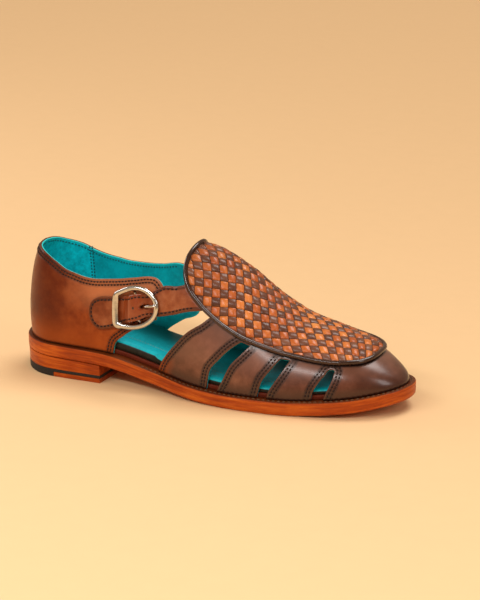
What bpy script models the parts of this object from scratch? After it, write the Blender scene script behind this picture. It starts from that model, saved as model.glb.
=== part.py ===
"""Right shoe of a pair of huarache sandals: woven apron, cut-out sides, buckled strap, closed heel.

Toe towards +X, outer (lateral) side towards -Y, +Z up, standing on the floor at z = 0. The sole is drawn
from its length and ball width, the upper from sections over a last. Stations run from the back of the
heel to the toe; rise is the share of the way up a section, from the feather line to the ridge.
"""

import bmesh
import bpy
import numpy as np
from mathutils import Vector
from mathutils.geometry import delaunay_2d_cdt

# Driving sizes, in metres.
SOLE_LENGTH = 0.300
BALL_WIDTH = 0.098
INSTEP_HEIGHT = 0.0905
HEEL_HEIGHT = 0.0156
TOE_SPRING = 0.010
HEEL_BREAST = 0.074
OUTSOLE_THICKNESS = 0.0057
MIDSOLE_THICKNESS = 0.0036
INSOLE_THICKNESS = 0.0030
FOOTBED_THICKNESS = 0.0066
FRONT_LIFT_THICKNESS = 0.0034
RUBBER_LAYER = 0.0020
RUBBER_REAR_LENGTH = 0.0355
WELT_SHOW = 0.0045
WELT_SHOW_HEEL = 0.0030
UPPER_WALL = 0.0022
APRON_THICKNESS = 0.0014
STRAP_THICKNESS = 0.0022
STRAP_WIDTH = 0.0245
PIPING_RADIUS = 0.0017
FRAME_WIRE_RADIUS = 0.0016
FRAME_LENGTH = 0.0365
FRAME_HEIGHT = 0.0310
FRAME_BAR_HEIGHT = 0.0265
CENTRE_BAR_RADIUS = 0.0010
PRONG_RADIUS = 0.0009
PRONG_HOLE_LENGTH = 0.0060
PRONG_HOLE_WIDTH = 0.0030
LOOP_LEATHER = 0.0008
LOOP_WIDTH = 0.0150
LOOP_TAIL = 0.0080
BUCKLE_TILT = 12.0
FIT_GAP = 0.0003
EDGE_CLEARANCE = 0.0005

# Shape constants of the outline and of the last.
HEEL_ROUND = 0.034
TOE_ROUND = 0.078
TOE_DOME = 0.040
HEEL_PIVOT = 0.046
HEEL_FAN = 0.120

# Sole outline: station, centre line and half width as shares of BALL_WIDTH.
SOLE_PLAN = (
    (0.00, 0.004, 0.349),
    (0.12, -0.014, 0.365),
    (0.25, -0.035, 0.347),
    (0.38, -0.067, 0.335),
    (0.50, -0.072, 0.393),
    (0.62, -0.017, 0.473),
    (0.70, 0.024, 0.499),
    (0.80, 0.050, 0.479),
    (0.90, 0.052, 0.447),
    (1.00, 0.049, 0.398),
)

# Underside of the outsole: station, share of HEEL_HEIGHT, share of TOE_SPRING.
UNDERSIDE = (
    (0.00, 1.00, 0.00),
    (0.25, 0.87, 0.00),
    (0.40, 0.40, 0.00),
    (0.53, 0.05, 0.00),
    (0.60, 0.00, 0.00),
    (0.72, 0.00, 0.00),
    (0.80, 0.00, 0.13),
    (0.88, 0.00, 0.36),
    (1.00, 0.00, 1.00),
)

# Ridge of the last: station, height as a share of INSTEP_HEIGHT, shift to the inner side as a share of
# BALL_WIDTH, fullness of the outer and of the inner half section.
RIDGE = (
    (0.000, 1.304, 0.000, 2.60, 2.60),
    (0.200, 1.260, 0.000, 2.60, 2.60),
    (0.367, 1.185, 0.010, 2.50, 2.50),
    (0.433, 1.146, 0.010, 2.30, 2.30),
    (0.500, 1.106, 0.015, 2.15, 2.15),
    (0.577, 0.973, 0.031, 2.00, 2.00),
    (0.647, 0.777, 0.051, 2.00, 2.10),
    (0.720, 0.621, 0.077, 2.10, 2.20),
    (0.800, 0.540, 0.092, 2.20, 2.30),
    (0.883, 0.472, 0.087, 2.30, 2.30),
    (1.000, 0.348, 0.071, 2.30, 2.30),
)

# Padding of the footbed: station, share of FOOTBED_THICKNESS.
PADDING = (
    (0.00, 1.00),
    (0.42, 1.00),
    (0.60, 0.70),
    (0.80, 0.55),
    (1.00, 0.45),
)

# Back of the heel: height above the feather line, forward lean; both in metres.
BACK_CURVE = (
    (0.000, 0.0000),
    (0.012, -0.0012),
    (0.025, -0.0016),
    (0.040, -0.0015),
    (0.055, -0.0015),
    (0.070, -0.0010),
    (0.090, 0.0030),
)

# Pattern lines on the last: station, rise.
APRON_OUTER = (
    (0.4570, 1.000), (0.4562, 0.930), (0.4545, 0.850), (0.4522, 0.739), (0.4545, 0.643),
    (0.4620, 0.558), (0.4770, 0.492), (0.5010, 0.444), (0.5250, 0.414), (0.5530, 0.396),
    (0.5850, 0.382), (0.6210, 0.382), (0.6600, 0.398), (0.7060, 0.415), (0.7480, 0.422),
    (0.8020, 0.420), (0.8520, 0.440), (0.8890, 0.515), (0.9080, 0.640), (0.9170, 0.800),
    (0.9190, 1.000),
)
APRON_INNER = (
    (0.4570, 1.000), (0.4562, 0.930), (0.4545, 0.850), (0.4522, 0.739), (0.4545, 0.643),
    (0.4620, 0.558), (0.4770, 0.492), (0.5010, 0.452), (0.5250, 0.432), (0.5530, 0.424),
    (0.5850, 0.422), (0.6210, 0.430), (0.6600, 0.450), (0.7060, 0.470), (0.7480, 0.486),
    (0.8020, 0.500), (0.8520, 0.520), (0.8840, 0.580), (0.9040, 0.690), (0.9155, 0.840),
    (0.9190, 1.000),
)
COLLAR_OUTER = (
    (0.4110, 0.430), (0.4050, 0.452), (0.3970, 0.470), (0.3870, 0.478), (0.3770, 0.473),
    (0.3350, 0.422), (0.2960, 0.377), (0.2570, 0.347), (0.2300, 0.333), (0.2030, 0.333),
    (0.1760, 0.346), (0.1440, 0.368), (0.1220, 0.399), (0.0880, 0.440), (0.0450, 0.472),
    (0.0100, 0.488),
)
COLLAR_INNER = (
    (0.4110, 0.456), (0.4050, 0.461), (0.3970, 0.466), (0.3870, 0.467), (0.3770, 0.461),
    (0.3350, 0.405), (0.2960, 0.366), (0.2570, 0.342), (0.2300, 0.334), (0.2030, 0.336),
    (0.1760, 0.338), (0.1440, 0.348), (0.1220, 0.362), (0.0880, 0.394), (0.0450, 0.434),
    (0.0100, 0.484),
)
STRAP_TOP = ((0.4110, 0.456), (0.4380, 0.482), (0.4626, 0.553))
QUARTER_FRONT = ((0.4110, 0.430), (0.4060, 0.360), (0.4010, 0.290), (0.3960, 0.221))
QUARTER_LOWER = (
    (0.3960, 0.221), (0.3570, 0.151), (0.3280, 0.106), (0.3010, 0.060), (0.2840, 0.030), (0.2780, 0.000),
)
QUARTER_LOWER_INNER = (
    (0.4260, 0.200), (0.4170, 0.160), (0.4030, 0.134), (0.3850, 0.110), (0.3710, 0.086), (0.3570, 0.064),
    (0.3380, 0.034), (0.3240, 0.010), (0.3200, 0.000),
)
STRAP_BOTTOM_INNER = ((0.4260, 0.200), (0.4550, 0.285), (0.4890, 0.368), (0.5150, 0.440))
STRIP_BACK = (
    (0.4040, 0.000), (0.4090, 0.020), (0.4210, 0.060), (0.4450, 0.131), (0.4840, 0.246),
    (0.5210, 0.337), (0.5400, 0.402),
)
SLOT_ONE_BACK = ((0.5405, 0.000), (0.5430, 0.030), (0.5500, 0.106), (0.5720, 0.186), (0.6010, 0.291),
                 (0.6230, 0.372))
SLOT_ONE_FRONT = ((0.6440, 0.382), (0.6260, 0.286), (0.6010, 0.176), (0.5840, 0.075), (0.5740, 0.025),
                  (0.5700, 0.000))
SLOT_TWO_BACK = ((0.6720, 0.000), (0.6750, 0.045), (0.6840, 0.151), (0.6990, 0.246), (0.7190, 0.395))
SLOT_TWO_FRONT = ((0.7410, 0.405), (0.7260, 0.256), (0.7110, 0.141), (0.6990, 0.055), (0.6960, 0.000))
SLOT_THREE = ((0.8000, 0.000), (0.8040, 0.085), (0.8140, 0.186), (0.8260, 0.296), (0.8380, 0.385),
              (0.8420, 0.385), (0.8455, 0.307), (0.8405, 0.171), (0.8310, 0.045), (0.8280, 0.000))

# Outer strap: station, rise of its middle, and how far it has sunk from the quarter's outer face (0) to the
# level of the upper's inner face (1).
STRAP_RUN = (
    (0.2180, 0.147, 0.0),
    (0.2460, 0.149, 0.0),
    (0.2800, 0.169, 0.0),
    (0.3040, 0.193, 0.0),
    (0.3160, 0.207, 0.0),
    (0.3260, 0.220, 0.0),
    (0.3370, 0.234, 0.0),
    (0.3500, 0.252, 0.0),
    (0.3630, 0.267, 0.0),
    (0.3740, 0.281, 0.0),
    (0.3840, 0.298, 0.0),
    (0.3980, 0.323, 0.0),
    (0.4140, 0.352, 0.0),
    (0.4440, 0.392, 1.0),
    (0.4690, 0.432, 1.0),
    (0.5000, 0.475, 1.0),
    (0.5400, 0.530, 1.0),
)

# Outer strap where it goes through the buckle: distance forward of the buckle's middle in metres, half width
# as a share of STRAP_WIDTH, and the lift of its underside as a share of the way over the centre bar.
STRAP_AT_BUCKLE = (
    (-0.0396, 0.490, 0.00),
    (-0.0312, 0.490, 0.00),
    (-0.0210, 0.465, 0.00),
    (-0.0138, 0.430, 0.00),
    (-0.0102, 0.395, 0.08),
    (-0.0072, 0.385, 0.48),
    (-0.0039, 0.385, 0.92),
    (0.0000, 0.385, 1.00),
    (0.0039, 0.372, 0.92),
    (0.0072, 0.335, 0.44),
    (0.0102, 0.352, 0.05),
    (0.0144, 0.400, 0.00),
    (0.0192, 0.435, 0.00),
    (0.0282, 0.415, 0.00),
    (0.0357, 0.410, 0.00),
    (0.0450, 0.405, 0.00),
    (0.0570, 0.400, 0.00),
)
STRAP_TAIL_ROUND = 0.0115
STRAP_MEETS_APRON = ((0.4668, 0.534), (0.5190, 0.4205))
STRAP_ENDS = (0.4655, 0.5150)
BUCKLE_STATION = 0.350


def clear_scene():
    for found in list(bpy.data.objects):
        bpy.data.objects.remove(found, do_unlink=True)


def eased(table, column, at):
    """A column of a table as a curve with no overshoot, read at the given places."""
    rows = np.array(table, float)
    x, y = rows[:, 0], rows[:, column]
    step = np.diff(x)
    slope = np.diff(y) / step
    tangent = np.zeros_like(y)
    same = slope[:-1] * slope[1:] > 0
    before, after = 2 * step[1:] + step[:-1], step[1:] + 2 * step[:-1]
    safe_one = np.where(same, slope[:-1], 1)
    safe_two = np.where(same, slope[1:], 1)
    tangent[1:-1] = np.where(same, (before + after) / (before / safe_one + after / safe_two), 0)
    tangent[0], tangent[-1] = slope[0], slope[-1]
    return hermite(x, y, tangent, at)


def flowing(table, column, at):
    """A column of a table as a smooth curve through every row."""
    rows = np.array(table, float)
    x, y = rows[:, 0], rows[:, column]
    return hermite(x, y, np.gradient(y, x), at)


def hermite(x, y, tangent, at):
    at = np.clip(np.asarray(at, float), x[0], x[-1])
    i = np.clip(np.searchsorted(x, at, side="right") - 1, 0, len(x) - 2)
    h = x[i + 1] - x[i]
    t = (at - x[i]) / h
    return (
        y[i] * (1 + 2 * t) * (1 - t) ** 2
        + tangent[i] * h * t * (1 - t) ** 2
        + y[i + 1] * t * t * (3 - 2 * t)
        + tangent[i + 1] * h * t * t * (t - 1)
    )


def end_rounding(x, low, high, heel_round, toe_round):
    """One along the shoe, falling to nothing round the heel and round the toe."""
    heel = np.clip((low + heel_round - x) / heel_round, 0, 1)
    toe = np.clip((x - (high - toe_round)) / toe_round, 0, 1)
    return (1 - heel**2.1) ** (1 / 2.1) * (1 - toe**2.2) ** (1 / 2.2)


def sole_edges(x, inset=0.0, heel_inset=None):
    """Outer and inner edge of the sole outline at x, drawn in by the inset."""
    heel_inset = inset if heel_inset is None else heel_inset
    x = np.asarray(x, float)
    share = np.clip(x / SOLE_LENGTH, 0, 1)
    here = heel_inset + (inset - heel_inset) * np.clip((share - 0.1) / 0.2, 0, 1)
    centre = flowing(SOLE_PLAN, 1, share) * BALL_WIDTH
    half = flowing(SOLE_PLAN, 2, share) * BALL_WIDTH - here
    half = half * end_rounding(x, heel_inset, SOLE_LENGTH - inset, HEEL_ROUND - heel_inset, TOE_ROUND - inset)
    return centre - half, centre + half


def underside(x):
    share = np.clip(np.asarray(x, float) / SOLE_LENGTH, 0, 1)
    return eased(UNDERSIDE, 1, share) * HEEL_HEIGHT + eased(UNDERSIDE, 2, share) * TOE_SPRING


MIDSOLE_BASE = OUTSOLE_THICKNESS + FIT_GAP
FEATHER = MIDSOLE_BASE + MIDSOLE_THICKNESS + FIT_GAP
FOOTBED_BASE = FEATHER + INSOLE_THICKNESS + FIT_GAP
LAST_BACK = WELT_SHOW_HEEL
LAST_TOE = SOLE_LENGTH - WELT_SHOW
SPREAD = np.linspace(0.0, SOLE_LENGTH, 400)
SHIFT = np.array(
    [
        SOLE_LENGTH / 2,
        (sole_edges(SPREAD)[0].min() + sole_edges(SPREAD)[1].max()) / 2,
        0.0,
    ]
)


def last_surface(x, side, rise):
    """Point on the last: x of the feather point, side -1 outer or 1 inner, rise 0 feather to 1 ridge."""
    x, side, rise = (np.asarray(value, float) for value in np.broadcast_arrays(x, side, rise))
    outer, inner = sole_edges(x, WELT_SHOW, WELT_SHOW_HEEL)
    edge = np.where(side < 0, outer, inner)
    middle = (outer + inner) / 2
    along = np.clip((x - LAST_BACK) / (HEEL_FAN - LAST_BACK), 0, 1)
    spine = x + (HEEL_PIVOT - x) * (1 - along) ** 1.6
    share = spine / SOLE_LENGTH
    dome = np.clip((spine - (LAST_TOE - TOE_DOME)) / TOE_DOME, 0, 1)
    dome = (1 - dome**2.1) ** (1 / 2.1)
    base = underside(x) + FEATHER
    top = base + (eased(RIDGE, 1, share) * INSTEP_HEIGHT - base) * dome
    ridge = eased(RIDGE, 2, share) * BALL_WIDTH
    ridge = np.where(share > 0.66, middle + (ridge - middle) * dome, ridge)
    full = np.where(side < 0, eased(RIDGE, 3, share), eased(RIDGE, 4, share))
    turn = np.clip(rise, 0, 1) * np.pi / 2
    out = np.maximum(np.cos(turn), 0) ** (2 / full)
    up = np.maximum(np.sin(turn), 0) ** (2 / full)
    reach_x, reach_y = x - spine, edge - ridge
    length = np.hypot(reach_x, reach_y) + 1e-9
    z = base + (top - base) * up
    lean = eased(BACK_CURVE, 1, np.clip(z - base, 0, BACK_CURVE[-1][0]))
    lean = -lean * np.clip(1 - (x - LAST_BACK) / 0.075, 0, 1) ** 2
    px = spine + reach_x * out + reach_x / length * lean
    py = ridge + reach_y * out + reach_y / length * lean * 0.6
    return np.stack([px, py, z], -1)


def unrolled(x, side, rise):
    """The same point laid flat, measured along its section from the ridge."""
    x, side, rise = (np.atleast_1d(np.asarray(v, float)) for v in np.broadcast_arrays(x, side, rise))
    steps = np.linspace(0, 1, 25)
    levels = 1 - (1 - rise[:, None]) * steps[None, :]
    points = last_surface(x[:, None], side[:, None], levels)
    arc = np.linalg.norm(np.diff(points, axis=1), axis=2).sum(1)
    foot = last_surface(x, side, np.zeros_like(x))
    ridge = last_surface(x, side, np.ones_like(x))
    way = foot[:, :2] - ridge[:, :2]
    way = way / (np.linalg.norm(way, axis=1)[:, None] + 1e-9)
    return ridge[:, :2] + way * arc[:, None]


def line(table, side, step, close=False):
    """A pattern line as evenly spaced points (x, side, rise), eased through the rows of its table."""
    rows = np.array(table, float)
    chord = np.r_[0, np.cumsum(np.hypot(np.diff(rows[:, 0]) * 3, np.diff(rows[:, 1])))]
    fine = np.linspace(0, chord[-1], 400)
    x = hermite(chord, rows[:, 0], np.gradient(rows[:, 0], chord), fine) * SOLE_LENGTH
    rise = np.clip(hermite(chord, rows[:, 1], np.gradient(rows[:, 1], chord), fine), 0, 1)
    return spaced(np.stack([x, np.full_like(x, side), rise], 1), step)


def feather_line(start, end, side, step):
    """Along the feather line between two places, crowded where the outline turns."""
    fine = np.linspace(0, 1, 600)
    fine = (1 - np.cos(fine * np.pi)) / 2
    x = start + (end - start) * fine
    return spaced(np.stack([x, np.full_like(x, side), np.zeros_like(x)], 1), step)


def spaced(run, step):
    points = last_surface(run[:, 0], run[:, 1], run[:, 2])
    length = np.r_[0, np.cumsum(np.linalg.norm(np.diff(points, axis=0), axis=1))]
    count = max(2, int(round(length[-1] / step)) + 1)
    at = np.linspace(0, length[-1], count)
    return np.stack([np.interp(at, length, run[:, i]) for i in range(3)], 1)


def back(run):
    return run[::-1]


def chained(*runs):
    """Runs joined end to start into one loop, each shared point kept once."""
    return np.vstack([run[:-1] for run in runs])


def inside(points, loop):
    """Which points lie inside a flat closed loop."""
    a, b = loop, np.roll(loop, -1, axis=0)
    px, py = points[:, 0][:, None], points[:, 1][:, None]
    crosses = (a[:, 1] > py) != (b[:, 1] > py)
    slope = (b[:, 0] - a[:, 0]) / np.where(b[:, 1] == a[:, 1], 1e-12, b[:, 1] - a[:, 1])
    at = a[:, 0] + (py - a[:, 1]) * slope
    return (crosses & (px < at)).sum(1) % 2 == 1


def distance_to(points, loop):
    a, b = loop, np.roll(loop, -1, axis=0)
    d = b - a
    t = ((points[:, None] - a) * d).sum(2) / ((d * d).sum(1) + 1e-18)
    near = a + d * np.clip(t, 0, 1)[..., None]
    return np.linalg.norm(points[:, None] - near, axis=2).min(1)


def lattice(step):
    """Evenly laid places on the last, on both sides."""
    found = []
    x = LAST_BACK + step * 0.5
    while x < LAST_TOE - 0.002:
        for side in (-1, 1):
            levels = np.linspace(0, 1, 60)
            points = last_surface(x, side, levels)
            length = np.r_[0, np.cumsum(np.linalg.norm(np.diff(points, axis=0), axis=1))]
            count = max(2, int(round(length[-1] / step)))
            at = (np.arange(count) + 0.5) / count * length[-1]
            rises = np.interp(at, length, levels)
            if side > 0:
                rises = np.r_[rises, 1.0]
            found += [(x, side, r) for r in rises]
        x += step * min(1.0, 0.35 + (LAST_TOE - x) / 0.04)
    return np.array(found)


def cut_skin(loops, step, lift=None):
    """Triangulated patch of the last inside the first loop and outside the others: points and faces."""
    flats = [unrolled(loop[:, 0], loop[:, 1], loop[:, 2]) for loop in loops]
    inner = lattice(step)
    flat = unrolled(inner[:, 0], inner[:, 1], inner[:, 2])
    keep = inside(flat, flats[0])
    for other in flats[1:]:
        keep &= ~inside(flat, other)
    for loop in flats:
        keep &= distance_to(flat, loop) > step * 0.5
    inner, flat = inner[keep], flat[keep]
    places = np.vstack(loops + [inner])
    flat = np.vstack(flats + [flat])
    edges, start = [], 0
    for loop in loops:
        count = len(loop)
        edges += [(start + i, start + (i + 1) % count) for i in range(count)]
        start += count
    scale = 100.0
    result = delaunay_2d_cdt([Vector(p) for p in flat * scale], edges, [], 0, 1e-7, True)
    verts, faces, origin = result[0], result[2], result[3]
    index = np.array([group[0] if group else -1 for group in origin])
    centre = np.array([np.mean([verts[i][:] for i in face], axis=0) for face in faces]) / scale
    wanted = inside(centre, flats[0])
    for other in flats[1:]:
        wanted &= ~inside(centre, other)
    faces = [tuple(index[list(face)]) for face, good in zip(faces, wanted) if good]
    points = last_surface(places[:, 0], places[:, 1], places[:, 2])
    normals = surface_normals(places)
    if lift is not None:
        points = points + normals * lift(places)[:, None]
    return points, faces, normals


def surface_normals(places):
    x, side, rise = places[:, 0], places[:, 1], places[:, 2]
    dx = np.minimum(0.0004, np.maximum(LAST_TOE - x, 1e-5) * 0.5)
    dx = np.where(x - LAST_BACK < 0.0004, np.maximum(x - LAST_BACK, 1e-5) * 0.5, dx)
    x = np.clip(x, LAST_BACK + 2e-5, LAST_TOE - 2e-5)
    low, high = np.maximum(rise - 0.004, 0), np.minimum(rise + 0.004, 1)
    along = last_surface(x + dx, side, rise) - last_surface(x - dx, side, rise)
    upward = last_surface(x, side, high) - last_surface(x, side, low)
    normal = np.cross(along, upward) * -side[:, None]
    size = np.linalg.norm(normal, axis=1)[:, None]
    return normal / np.maximum(size, 1e-12)


def wall(name, skin, outer, inner):
    """Closed wall between two offsets of a skin along its normals."""
    points, faces, normals = skin
    count = len(points)
    top = points + normals * outer
    bottom = points + normals * inner
    border = {}
    for face in faces:
        for a, b in zip(face, face[1:] + face[:1]):
            if (b, a) in border:
                del border[(b, a)]
            else:
                border[(a, b)] = True
    sides = [(b, a, a + count, b + count) for a, b in border]
    under = [tuple(i + count for i in reversed(face)) for face in faces]
    return solid(name, np.vstack([top, bottom]), list(faces) + under + sides)


def solid(name, points, faces):
    """Mesh object from points in the shoe's own frame, moved to the common origin, faces turned outwards."""
    mesh = bpy.data.meshes.new(name)
    mesh.from_pydata([tuple(p) for p in np.asarray(points) - SHIFT], [], [tuple(map(int, f)) for f in faces])
    work = bmesh.new()
    work.from_mesh(mesh)
    loose = [v for v in work.verts if not v.link_faces]
    bmesh.ops.delete(work, geom=loose, context="VERTS")
    bmesh.ops.remove_doubles(work, verts=work.verts, dist=2e-6)
    bmesh.ops.recalc_face_normals(work, faces=work.faces)
    work.to_mesh(mesh)
    work.free()
    mesh.update()
    made = bpy.data.objects.new(name, mesh)
    SHOE.objects.link(made)
    return made


def plate(name, low, high, levels, count=46, heel_inset=None, straight_end=False, straight_start=False,
          toe_extra=0.0):
    """Plate over the sole outline between two stations. Levels hold an inset and the height as a function."""
    turn = (1 - np.cos(np.linspace(0, np.pi, count))) / 2
    if straight_end:
        turn = 1 - np.cos(np.linspace(0, np.pi / 2, count))
    if straight_start:
        turn = np.linspace(0, 1, count)
    rings = []
    for inset, height in levels:
        near = low if straight_start else low + inset
        far = high if straight_end else high - inset - toe_extra
        x = near + (far - near) * turn
        here = inset + toe_extra * np.clip((x / SOLE_LENGTH - 0.75) / 0.15, 0, 1)
        outer, inner = sole_edges(x, here, inset if heel_inset is None else inset + heel_inset)
        z = height(x)
        left = np.stack([x, outer, z], 1)
        right = np.stack([x, inner, z], 1)
        rings.append(np.vstack([left, right]))
    faces = []
    for level in range(len(rings) - 1):
        a, b = level * 2 * count, (level + 1) * 2 * count
        for i in range(count - 1):
            faces.append((a + i, a + i + 1, b + i + 1, b + i))
            faces.append((a + count + i + 1, a + count + i, b + count + i, b + count + i + 1))
        faces.append((a + count - 1, a + 2 * count - 1, b + 2 * count - 1, b + count - 1))
        faces.append((a + count, a, b, b + count))
    last = (len(rings) - 1) * 2 * count
    for i in range(count - 1):
        faces.append((i, count + i, count + i + 1, i + 1))
        faces.append((last + i, last + i + 1, last + count + i + 1, last + count + i))
    return solid(name, np.vstack(rings), tidy_faces(faces))


def tidy_faces(faces):
    return [face for face in faces if len(set(face)) > 2]


def cord(name, path, radius, cyclic, sides=8):
    """Round cord along a path: a bevelled curve turned into a mesh."""
    curve = bpy.data.curves.new(name + "_path", "CURVE")
    curve.dimensions = "3D"
    curve.bevel_depth = radius
    curve.bevel_resolution = 2
    curve.use_fill_caps = True
    spline = curve.splines.new("POLY")
    spline.points.add(len(path) - 1)
    for point, place in zip(spline.points, np.asarray(path) - SHIFT):
        point.co = (*place, 1.0)
    spline.use_cyclic_u = cyclic
    made = bpy.data.objects.new(name, curve)
    return made


def as_mesh(curve_object):
    """The curve's own mesh as an object of the same name."""
    name = curve_object.name
    SHOE.objects.link(curve_object)
    graph = bpy.context.evaluated_depsgraph_get()
    mesh = bpy.data.meshes.new_from_object(curve_object.evaluated_get(graph))
    work = bmesh.new()
    work.from_mesh(mesh)
    bmesh.ops.remove_doubles(work, verts=work.verts, dist=2e-6)
    bmesh.ops.recalc_face_normals(work, faces=work.faces)
    work.to_mesh(mesh)
    work.free()
    bpy.data.objects.remove(curve_object, do_unlink=True)
    made = bpy.data.objects.new(name, mesh)
    SHOE.objects.link(made)
    return made


def material(name, colour, roughness, metallic):
    made = bpy.data.materials.new(name)
    made.use_nodes = True
    shader = made.node_tree.nodes["Principled BSDF"]
    shader.inputs["Base Color"].default_value = (*colour, 1.0)
    shader.inputs["Roughness"].default_value = roughness
    shader.inputs["Metallic"].default_value = metallic
    made.diffuse_color = (*colour, 1.0)
    return made


def dressed(made, finish):
    made.data.materials.clear()
    made.data.materials.append(finish)
    return made


def above_sole(height):
    return lambda x: underside(x) + height


def padded(share):
    """Height on the footbed, as a share of its padding."""
    return lambda x: (
        underside(x) + FOOTBED_BASE + FOOTBED_THICKNESS * share * eased(PADDING, 1, np.clip(x / SOLE_LENGTH, 0, 1))
    )


def level(height):
    return lambda x: np.full_like(x, height)


clear_scene()
SHOE = bpy.data.collections.new("huarache_sandal")
bpy.context.scene.collection.children.link(SHOE)
CUTTERS = bpy.data.collections.new("cutters")
CUTTERS.hide_render = True
bpy.context.scene.collection.children.link(CUTTERS)

SOLE_LEATHER = material("sole_leather", (0.42, 0.13, 0.035), 0.45, 0.0)
RUBBER = material("rubber", (0.02, 0.018, 0.016), 0.75, 0.0)
INSOLE_LEATHER = material("insole_leather", (0.20, 0.045, 0.02), 0.5, 0.0)
SOCK_LEATHER = material("sock_leather", (0.0, 0.20, 0.20), 0.7, 0.0)
UPPER_LEATHER = material("upper_leather", (0.17, 0.062, 0.03), 0.35, 0.0)
WOVEN_LEATHER = material("woven_leather", (0.30, 0.095, 0.035), 0.38, 0.0)
PIPING_LEATHER = material("piping_leather", (0.055, 0.018, 0.010), 0.3, 0.0)
STRAP_LEATHER = material("strap_leather", (0.20, 0.075, 0.037), 0.35, 0.0)
NICKEL = material("nickel", (0.78, 0.76, 0.72), 0.12, 1.0)

# Sole: outsole, midsole with its welt edge, insole board and padded footbed, one over the other.
dressed(
    plate(
        "outsole",
        0.0,
        SOLE_LENGTH,
        (
            (0.0012, above_sole(0.0)),
            (0.0003, above_sole(0.0008)),
            (0.0000, above_sole(0.0018)),
            (0.0000, above_sole(OUTSOLE_THICKNESS)),
        ),
    ),
    SOLE_LEATHER,
)
dressed(
    plate(
        "welt_midsole",
        0.0,
        SOLE_LENGTH,
        (
            (0.0001, above_sole(MIDSOLE_BASE)),
            (0.0000, above_sole(MIDSOLE_BASE + MIDSOLE_THICKNESS - 0.0010)),
            (0.0008, above_sole(MIDSOLE_BASE + MIDSOLE_THICKNESS)),
        ),
    ),
    SOLE_LEATHER,
)
BOARD_INSET = WELT_SHOW + UPPER_WALL + EDGE_CLEARANCE
BOARD_HEEL = WELT_SHOW_HEEL - WELT_SHOW
dressed(
    plate(
        "insole",
        BOARD_HEEL,
        SOLE_LENGTH,
        (
            (BOARD_INSET, above_sole(FEATHER)),
            (BOARD_INSET, above_sole(FEATHER + INSOLE_THICKNESS)),
        ),
        heel_inset=BOARD_HEEL,
        toe_extra=0.0016,
    ),
    INSOLE_LEATHER,
)
dressed(
    plate(
        "footbed",
        BOARD_HEEL,
        SOLE_LENGTH,
        (
            (BOARD_INSET + 0.0010, padded(0.0)),
            (BOARD_INSET + 0.0010, padded(0.6)),
            (BOARD_INSET + 0.0020, padded(0.88)),
            (BOARD_INSET + 0.0038, padded(1.0)),
        ),
        heel_inset=BOARD_HEEL,
        toe_extra=0.0042,
    ),
    SOCK_LEATHER,
)

# Heel: leather stack, rubber layer with the rubber rear of the top lift, leather front of the top lift.
HEEL_SIDE = 0.0006
LIFT_TOP = FRONT_LIFT_THICKNESS + FIT_GAP + RUBBER_LAYER
dressed(
    plate(
        "heel_stack",
        0.0,
        HEEL_BREAST,
        (
            (HEEL_SIDE, level(LIFT_TOP + FIT_GAP)),
            (HEEL_SIDE * 0.5, lambda x: underside(x) - FIT_GAP),
        ),
        count=22,
        straight_end=True,
    ),
    SOLE_LEATHER,
)


def heel_rubber():
    """Full rubber layer that steps down to the floor behind the leather front lift."""
    upper = plate(
        "heel_rubber",
        0.0,
        HEEL_BREAST,
        ((HEEL_SIDE, level(FRONT_LIFT_THICKNESS + FIT_GAP)), (HEEL_SIDE, level(LIFT_TOP))),
        count=22,
        straight_end=True,
    )
    rear = plate(
        "heel_rubber_rear",
        0.0,
        RUBBER_REAR_LENGTH,
        ((HEEL_SIDE, level(0.0)), (HEEL_SIDE, level(LIFT_TOP - RUBBER_LAYER * 0.5))),
        count=16,
        straight_end=True,
    )
    SHOE.objects.unlink(rear)
    CUTTERS.objects.link(rear)
    rear.display_type = "WIRE"
    rear.hide_render = True
    join = upper.modifiers.new("rear", "BOOLEAN")
    join.operation = "UNION"
    join.solver = "EXACT"
    join.object = rear
    return upper


dressed(heel_rubber(), RUBBER)
dressed(
    plate(
        "heel_front_lift",
        RUBBER_REAR_LENGTH + FIT_GAP,
        HEEL_BREAST,
        ((HEEL_SIDE, level(0.0)), (HEEL_SIDE, level(FRONT_LIFT_THICKNESS))),
        count=12,
        straight_start=True,
        straight_end=True,
    ),
    SOLE_LEATHER,
)

# Upper: one loop round the toe, slots, apron base, inner strap and quarters.
EDGE_STEP = 0.0042
SKIN_STEP = 0.0068


def at_station(table, row=-1):
    return table[row][0] * SOLE_LENGTH


def side_openings(side):
    """From the toe back along one side to the apron: feather, slot three, two and one, strip edge."""
    return (
        feather_line(LAST_TOE, at_station(SLOT_THREE), side, EDGE_STEP),
        back(line(SLOT_THREE, side, EDGE_STEP * 0.8)),
        feather_line(at_station(SLOT_THREE, 0), at_station(SLOT_TWO_FRONT), side, EDGE_STEP),
        back(line(SLOT_TWO_FRONT, side, EDGE_STEP)),
        spaced(np.vstack([line(SLOT_TWO_FRONT, side, 1)[:1], line(SLOT_TWO_BACK, side, 1)[-1:]]), EDGE_STEP),
        back(line(SLOT_TWO_BACK, side, EDGE_STEP)),
        feather_line(at_station(SLOT_TWO_BACK, 0), at_station(SLOT_ONE_FRONT), side, EDGE_STEP),
        back(line(SLOT_ONE_FRONT, side, EDGE_STEP)),
        spaced(np.vstack([line(SLOT_ONE_FRONT, side, 1)[:1], line(SLOT_ONE_BACK, side, 1)[-1:]]), EDGE_STEP),
        back(line(SLOT_ONE_BACK, side, EDGE_STEP)),
        feather_line(at_station(SLOT_ONE_BACK, 0), at_station(STRIP_BACK, 0), side, EDGE_STEP),
        line(STRIP_BACK, side, EDGE_STEP),
    )


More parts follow.
